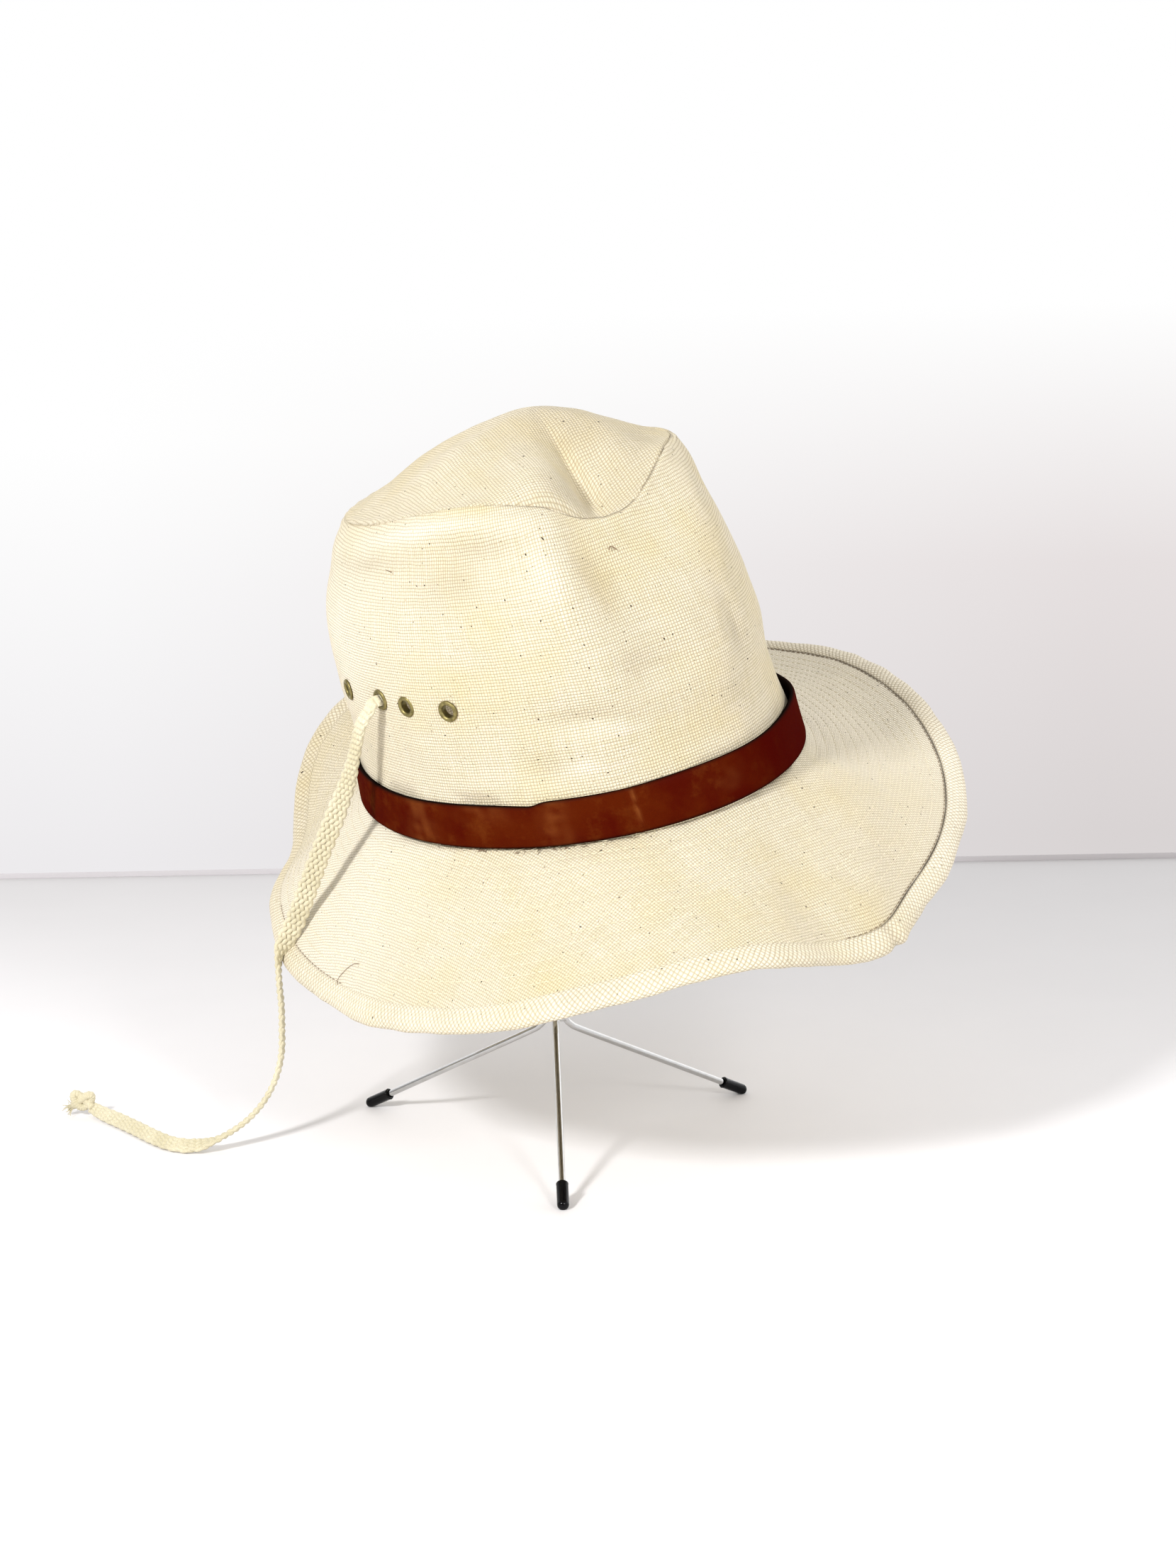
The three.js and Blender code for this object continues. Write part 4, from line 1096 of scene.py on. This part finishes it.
def hat_band():
    """A strip of leather round the crown's foot: eased, with a wavy top edge and a crease near the front."""
    angle, share_up = ring_grid(BAND_COLUMNS, BAND_SECTION[:, 0])
    out_share, ink = (np.broadcast_to(BAND_SECTION[:, k], angle.shape) for k in (1, 2))
    turn = aside_of(angle, 0)
    step = 1 / (1 + np.exp(-(turn - NOTCH) / 0.9))
    drop = NOTCH_DEEP * step * np.exp(-np.clip(turn - NOTCH - 2, 0, None) / 16)
    top_edge = BAND_HEIGHT + 0.25 * np.sin(np.radians(angle * 7)) - drop
    height = BAND_LIFT + share_up * top_edge
    base = side_point(angle, height / around(SEAM, angle))
    foot = side_point(*ring_grid(BAND_COLUMNS, np.linspace(0, 0.15, 5)))
    out = normals(foot)[:, 2][:, None]
    ease = 0.175 * (1 + rumple(base, 45, 51))
    flare = bumps(BAND_FLARE, angle) * share_up ** 1.5
    wave = 0.6 * bumps(BAND_WAVES, angle) * (0.4 + 0.6 * share_up)
    surface = out_share > 0.5
    offset = BAND_GAP + ease + flare + wave + LEATHER * out_share + surface * bumps(BAND_CREASE, angle)
    points = base + out * offset[..., None]
    halfway_up = 5  # point of the section
    run, length = ring_run(points[:, halfway_up])
    cloth = ring_cloth(run, height).reshape(-1, 2)
    # Rubbed pale and painted sheen on the band
    lightened = patches(BAND_WEAR_AND_SHEEN, angle, share_up) * (0.7 + 0.5 * rumple(points, 5, 53)) * surface
    middle, reach, soft, most = -25, 32, 24, 0.85  # of the stretch that is dyed deep red
    dyed = np.clip((reach - np.abs(turn - middle)) / soft, 0, most) * surface
    paint = {"ink": ink, "wear_and_sheen": np.clip(lightened, 0, 1), "dyed": dyed}
    return piece("leather_band", placed(points.reshape(-1, 3)), skin(*angle.shape), leather, "band_leather",
                 ["hat_band"], cloth, length, paint)


# Eyelets: a rolled flange outside, a tube through the cloth and a rolled washer inside
def eyelet_profile():
    hole, barrel, flange, washer = (d / 2 for d in (EYELET_HOLE, EYELET_BARREL, EYELET_FLANGE, EYELET_WASHER))
    seat, back = 0.12, -CANVAS - 0.35
    high, low = 0.85, 0.68  # of the two rolls
    profile = [(barrel, back), (barrel, seat)]
    for a in np.linspace(0, math.pi, 12):
        profile.append(((flange + hole) / 2 + (flange - hole) / 2 * math.cos(a), seat + high * math.sin(a)))
    for a in np.linspace(0, math.pi, 12):
        profile.append(((washer + hole) / 2 - (washer - hole) / 2 * math.cos(a), back - low * math.sin(a)))
    return profile


def eyelets():
    points, faces = turned(eyelet_profile(), 40)
    for name, place, out in eyelet_places():
        where = placed(aimed(points, place, out))
        piece(name + "_brass", where, faces, brass, "eyelet_brass", [name])


# Wire stand
def wire_outline():
    """A wire's outline as (distance from the axis, height) from foot to arm, its foot and its slope there."""
    foot = np.array([FOOT_OUT, FOOT_TIP_WIDE / 2 - FOOT_TIP_FLAT])
    bend = np.array([RISER_OUT + BEND_OUT, NECK_HEIGHT])
    slope = unit(bend - foot)
    end = foot + slope * (FOOT_TIP_LONG - FOOT_TIP_DEPTH)
    outline = [
        end, end + (bend - end) * 0.5, end + (bend - end) * 0.97,
        (RISER_OUT + BEND_OUT * 0.45, NECK_HEIGHT + 3), (RISER_OUT + BEND_OUT * 0.12, NECK_HEIGHT + 7),
        (RISER_OUT, NECK_HEIGHT + 14), (RISER_OUT, SLEEVE_BOTTOM + SLEEVE_HIGH / 2),
        (RISER_OUT, STAND_TOP - 14), (RISER_OUT + 0.4, STAND_TOP - 5.5), (RISER_OUT + 2.6, STAND_TOP - 1.2),
        (RISER_OUT + 7, STAND_TOP - 0.3), (ARM_OUT * 0.55, STAND_TOP - ARM_DROP * 0.35),
        (ARM_OUT * 0.82, STAND_TOP - ARM_DROP * 0.71), (ARM_OUT, STAND_TOP - ARM_DROP),
    ]
    return smooth_line(outline, 8), foot, slope


def leg_point(turn, outline):
    """Points given as (distance from the axis, height), in the plane of the leg at that angle."""
    outward = np.array([-math.sin(math.radians(turn)), -math.cos(math.radians(turn)), 0])
    return outline[..., :1] * outward + outline[..., 1:] * (0, 0, 1)


def stand():
    outline, foot, slope = wire_outline()
    half, top, soft, core = SLEEVE_WIDE / 2, SLEEVE_BOTTOM + SLEEVE_HIGH, 0.6, 0.5
    sleeve = [(core, SLEEVE_BOTTOM), (half - soft, SLEEVE_BOTTOM), (half, SLEEVE_BOTTOM + soft),
              (half, top - soft), (half - soft, top), (core, top)]
    wires = [tube(leg_point(turn, outline), WIRE / 2, 18) for turn in LEG_ANGLES]
    points, faces = joined([turned(sleeve, 32), *wires])
    piece("stand_wires", points + STAND_AXIS, faces, chrome, "chromed_wire", ["stand_frame"])
    radius, lip, bore, top = FOOT_TIP_WIDE / 2, 0.4, 1.5, FOOT_TIP_LONG
    dome = np.linspace(0.05, math.pi / 2, 12)
    cap = [*[(radius * math.sin(a), -radius * math.cos(a)) for a in dome], (radius, top - 2 * lip),
           (radius + 0.12, top - lip), (radius - 0.1, top - 0.1), (radius - lip, top), (bore, top - 0.2),
           (bore, top - FOOT_TIP_DEPTH), (0.1, top - FOOT_TIP_DEPTH)]
    points, faces = turned(cap, 36)
    for k, turn in enumerate(LEG_ANGLES):
        where = aimed(points, leg_point(turn, foot), leg_point(turn, slope)) + STAND_AXIS
        where[:, 2] = np.maximum(where[:, 2], 0)
        piece(f"foot_tip_{k + 1}_vinyl", where, faces, vinyl, "black_vinyl", [f"foot_tip_{k + 1}"])


# Loose fibres that have settled on the cloth: places of (angle, reach of the brim or share of the side)
LONG_HAIR = ((95.5, 55), (97.6, 56.5), (99.6, 60), (101.2, 64.5), (101.0, 67))
CURLED_HAIR = ((13.2, 0.896), (12.6, 0.905), (11.6, 0.903), (11.0, 0.893))
THICK_END = ((84.2, 0.868), (83, 0.864), (81.6, 0.859))
LINT = 90  # short fibres along the band's foot
LINT_DARK = 0.45  # share of them that is dark


def stray_fibres():
    """Hairs and curled threads on the brim, the side and along the band."""
    def on_brim(angle, reach):
        return brim_point(np.array(angle, float), np.array(reach, float)) + (0, 0, 0.5)

    def on_side(angle, share):
        return side_point(np.array(angle, float), np.array(share, float)) * (1.008, 1.008, 1)

    dark, pale = [], []
    dark.append(tube(smooth_line([on_brim(*spot) for spot in LONG_HAIR], 8), 0.11, 5))
    dark.append(tube(smooth_line([on_side(*spot) for spot in CURLED_HAIR], 6), 0.2, 5))
    dark.append(tube(smooth_line([on_side(*spot) for spot in THICK_END], 4), np.linspace(0.12, 0.24, 9), 5))
    draw = np.random.default_rng(21)
    for _ in range(LINT):
        angle, reach = draw.uniform(30, 84), draw.uniform(0.4, 2.4)
        shift = draw.normal(size=(3, 2)) * (0.9, 0.5)
        line = smooth_line([on_brim(angle + a, max(0.2, reach + b)) + (0, 0, draw.uniform(-0.2, 0.5))
                            for a, b in np.cumsum(shift, 0)], 3)
        kept = dark if draw.uniform() < LINT_DARK else pale
        kept.append(tube(line, draw.uniform(0.07, 0.16), 4))
    for name, shapes, material in (("dark_fibres", dark, brown_thread), ("pale_fibres", pale, ecru_thread)):
        points, faces = joined(shapes)
        piece(name, placed(points), faces, material, "canvas")


hat_band()
eyelets()
stand()
stray_fibres()

# Stage: a pale board that ends behind the stand, greyed towards its back by painted shade, and a pale room
FLOOR_BACK, FLOOR_TURN, FLOOR_REACH = 480.0, math.radians(-40.5), 4000.0
FLOOR_ALONG = np.array([math.cos(FLOOR_TURN), math.sin(FLOOR_TURN), 0.0])  # its back edge
FLOOR_BEHIND = np.array([-math.sin(FLOOR_TURN), math.cos(FLOOR_TURN), 0.0])
SHADE_START, SHADE_END = -120.0, 440.0  # where the floor's painted shade starts, and where it is darkest
JOINT_SHADE_HIGH = 3.0  # strip of painted shade along the back edge
LAMP_AIM = 170.0  # height at which the lamps look


def board(name, corners, material):
    """A flat board of the stage, from corners given along the floor's back edge, behind it and above it."""
    points = [STAND_AXIS + FLOOR_ALONG * a + FLOOR_BEHIND * (FLOOR_BACK + b) + (0, 0, c)
              for a, b, c in corners]
    shown(name, points, [(0, 1, 2, 3)], material)


def lamp(name, azimuth, elevation, distance, size, watts):
    """A square soft light that looks at the hat from an angle round it."""
    light = bpy.data.lights.new(name, "AREA")
    light.size, light.energy = size * MM, watts
    made = bpy.data.objects.new(name, light)
    turn, rise = math.radians(azimuth), math.radians(elevation)
    out = Vector((-math.sin(turn) * math.cos(rise), -math.cos(turn) * math.cos(rise), math.sin(rise)))
    made.location = (Vector(STAND_AXIS) + Vector((0, 0, LAMP_AIM)) + out * distance) * MM
    made.rotation_euler = out.to_track_quat("Z", "Y").to_euler()
    bpy.context.scene.collection.objects.link(made)


def room():
    """A pale room: white walls behind and on the right give soft light, and its near end is dim and brown.

    The camera sees the wall behind instead, white above and greyed below by painted shade, more so on the
    right.
    """
    world = bpy.data.worlds.new("room")
    world.use_nodes = True
    bpy.context.scene.world = world
    tree = world.node_tree
    tree.nodes.clear()
    way = node(tree, "TexCoord").outputs["Generated"]
    light = (0.0, 0.0, 0.0)
    for side, strength, tint in ((away, 1.38, "#ffffff"), (-right, 0.45, "#ffffff"), (right, 1.2, "#ffffff"),
                                 ((0, 0, 1), 0.3, "#ffffff"), (-away, 0.2, "#b58d63")):
        facing = node(tree, "VectorMath", {0: way, 1: side}, operation="DOT_PRODUCT").outputs["Value"]
        share = node(tree, "Math", {0: facing, 1: 0.0}, operation="MAXIMUM")
        shade = tuple(strength * part for part in linear(tint)[:3])
        light = node(tree, "VectorMath", {0: share, 1: shade, 2: light}, operation="MULTIPLY_ADD")
    # Painted shade on the wall the camera sees: grey low down, more so on the right
    height = node(tree, "SeparateXYZ", {0: way}).outputs["Z"]
    low_left = node(tree, "MapRange", {0: height, 1: -0.218, 2: -0.083})
    low_right = node(tree, "MapRange", {0: height, 1: -0.218, 2: -0.13})
    high_right = node(tree, "MapRange", {0: height, 1: -0.13, 2: -0.045})
    sideways = node(tree, "VectorMath", {0: way, 1: right}, operation="DOT_PRODUCT").outputs["Value"]
    to_right = node(tree, "MapRange", {0: sideways, 1: -0.16, 2: 0.17})
    white = linear("#ffffff")
    wall_left = node(tree, "Mix", {0: low_left, 6: linear("#edebed"), 7: white}, data_type="RGBA").outputs[2]
    foot = node(tree, "Mix", {0: low_right, 6: linear("#d9d4d4"), 7: linear("#e6e0e0")}, data_type="RGBA")
    wall_right = node(tree, "Mix", {0: high_right, 6: foot.outputs[2], 7: white}, data_type="RGBA").outputs[2]
    wall = node(tree, "Mix", {0: to_right, 6: wall_left, 7: wall_right}, data_type="RGBA").outputs[2]
    glow = node(tree, "Background", {"Color": light})
    backdrop = node(tree, "Background", {"Color": wall})
    seen = node(tree, "LightPath").outputs["Is Camera Ray"]
    both = node(tree, "MixShader", {0: seen, 1: glow, 2: backdrop})
    node(tree, "OutputWorld", {"Surface": both})


far = FLOOR_REACH
# The floor greys towards its back with painted shade
board("floor", ((-far, -far, 0), (far, -far, 0), (far, 0, 0), (-far, 0, 0)),
      painted_board("floor_board", "#ebe9ea", "#d0cecf"))
# Painted shade: a grey strip stands where the floor meets the wall
board("joint_shade_strip", ((-far, 0, 0), (far, 0, 0), (far, 0, JOINT_SHADE_HIGH), (-far, 0, JOINT_SHADE_HIGH)),
      painted_board("joint_shade_paint", "#d8d5d8", "#d8d5d8"))
room()
lamp("key_light", azimuth=76, elevation=30, distance=1400, size=210, watts=19.0)
lamp("second_light", azimuth=9, elevation=24, distance=1400, size=250, watts=7.0)
bpy.context.scene.view_settings.view_transform = "Standard"
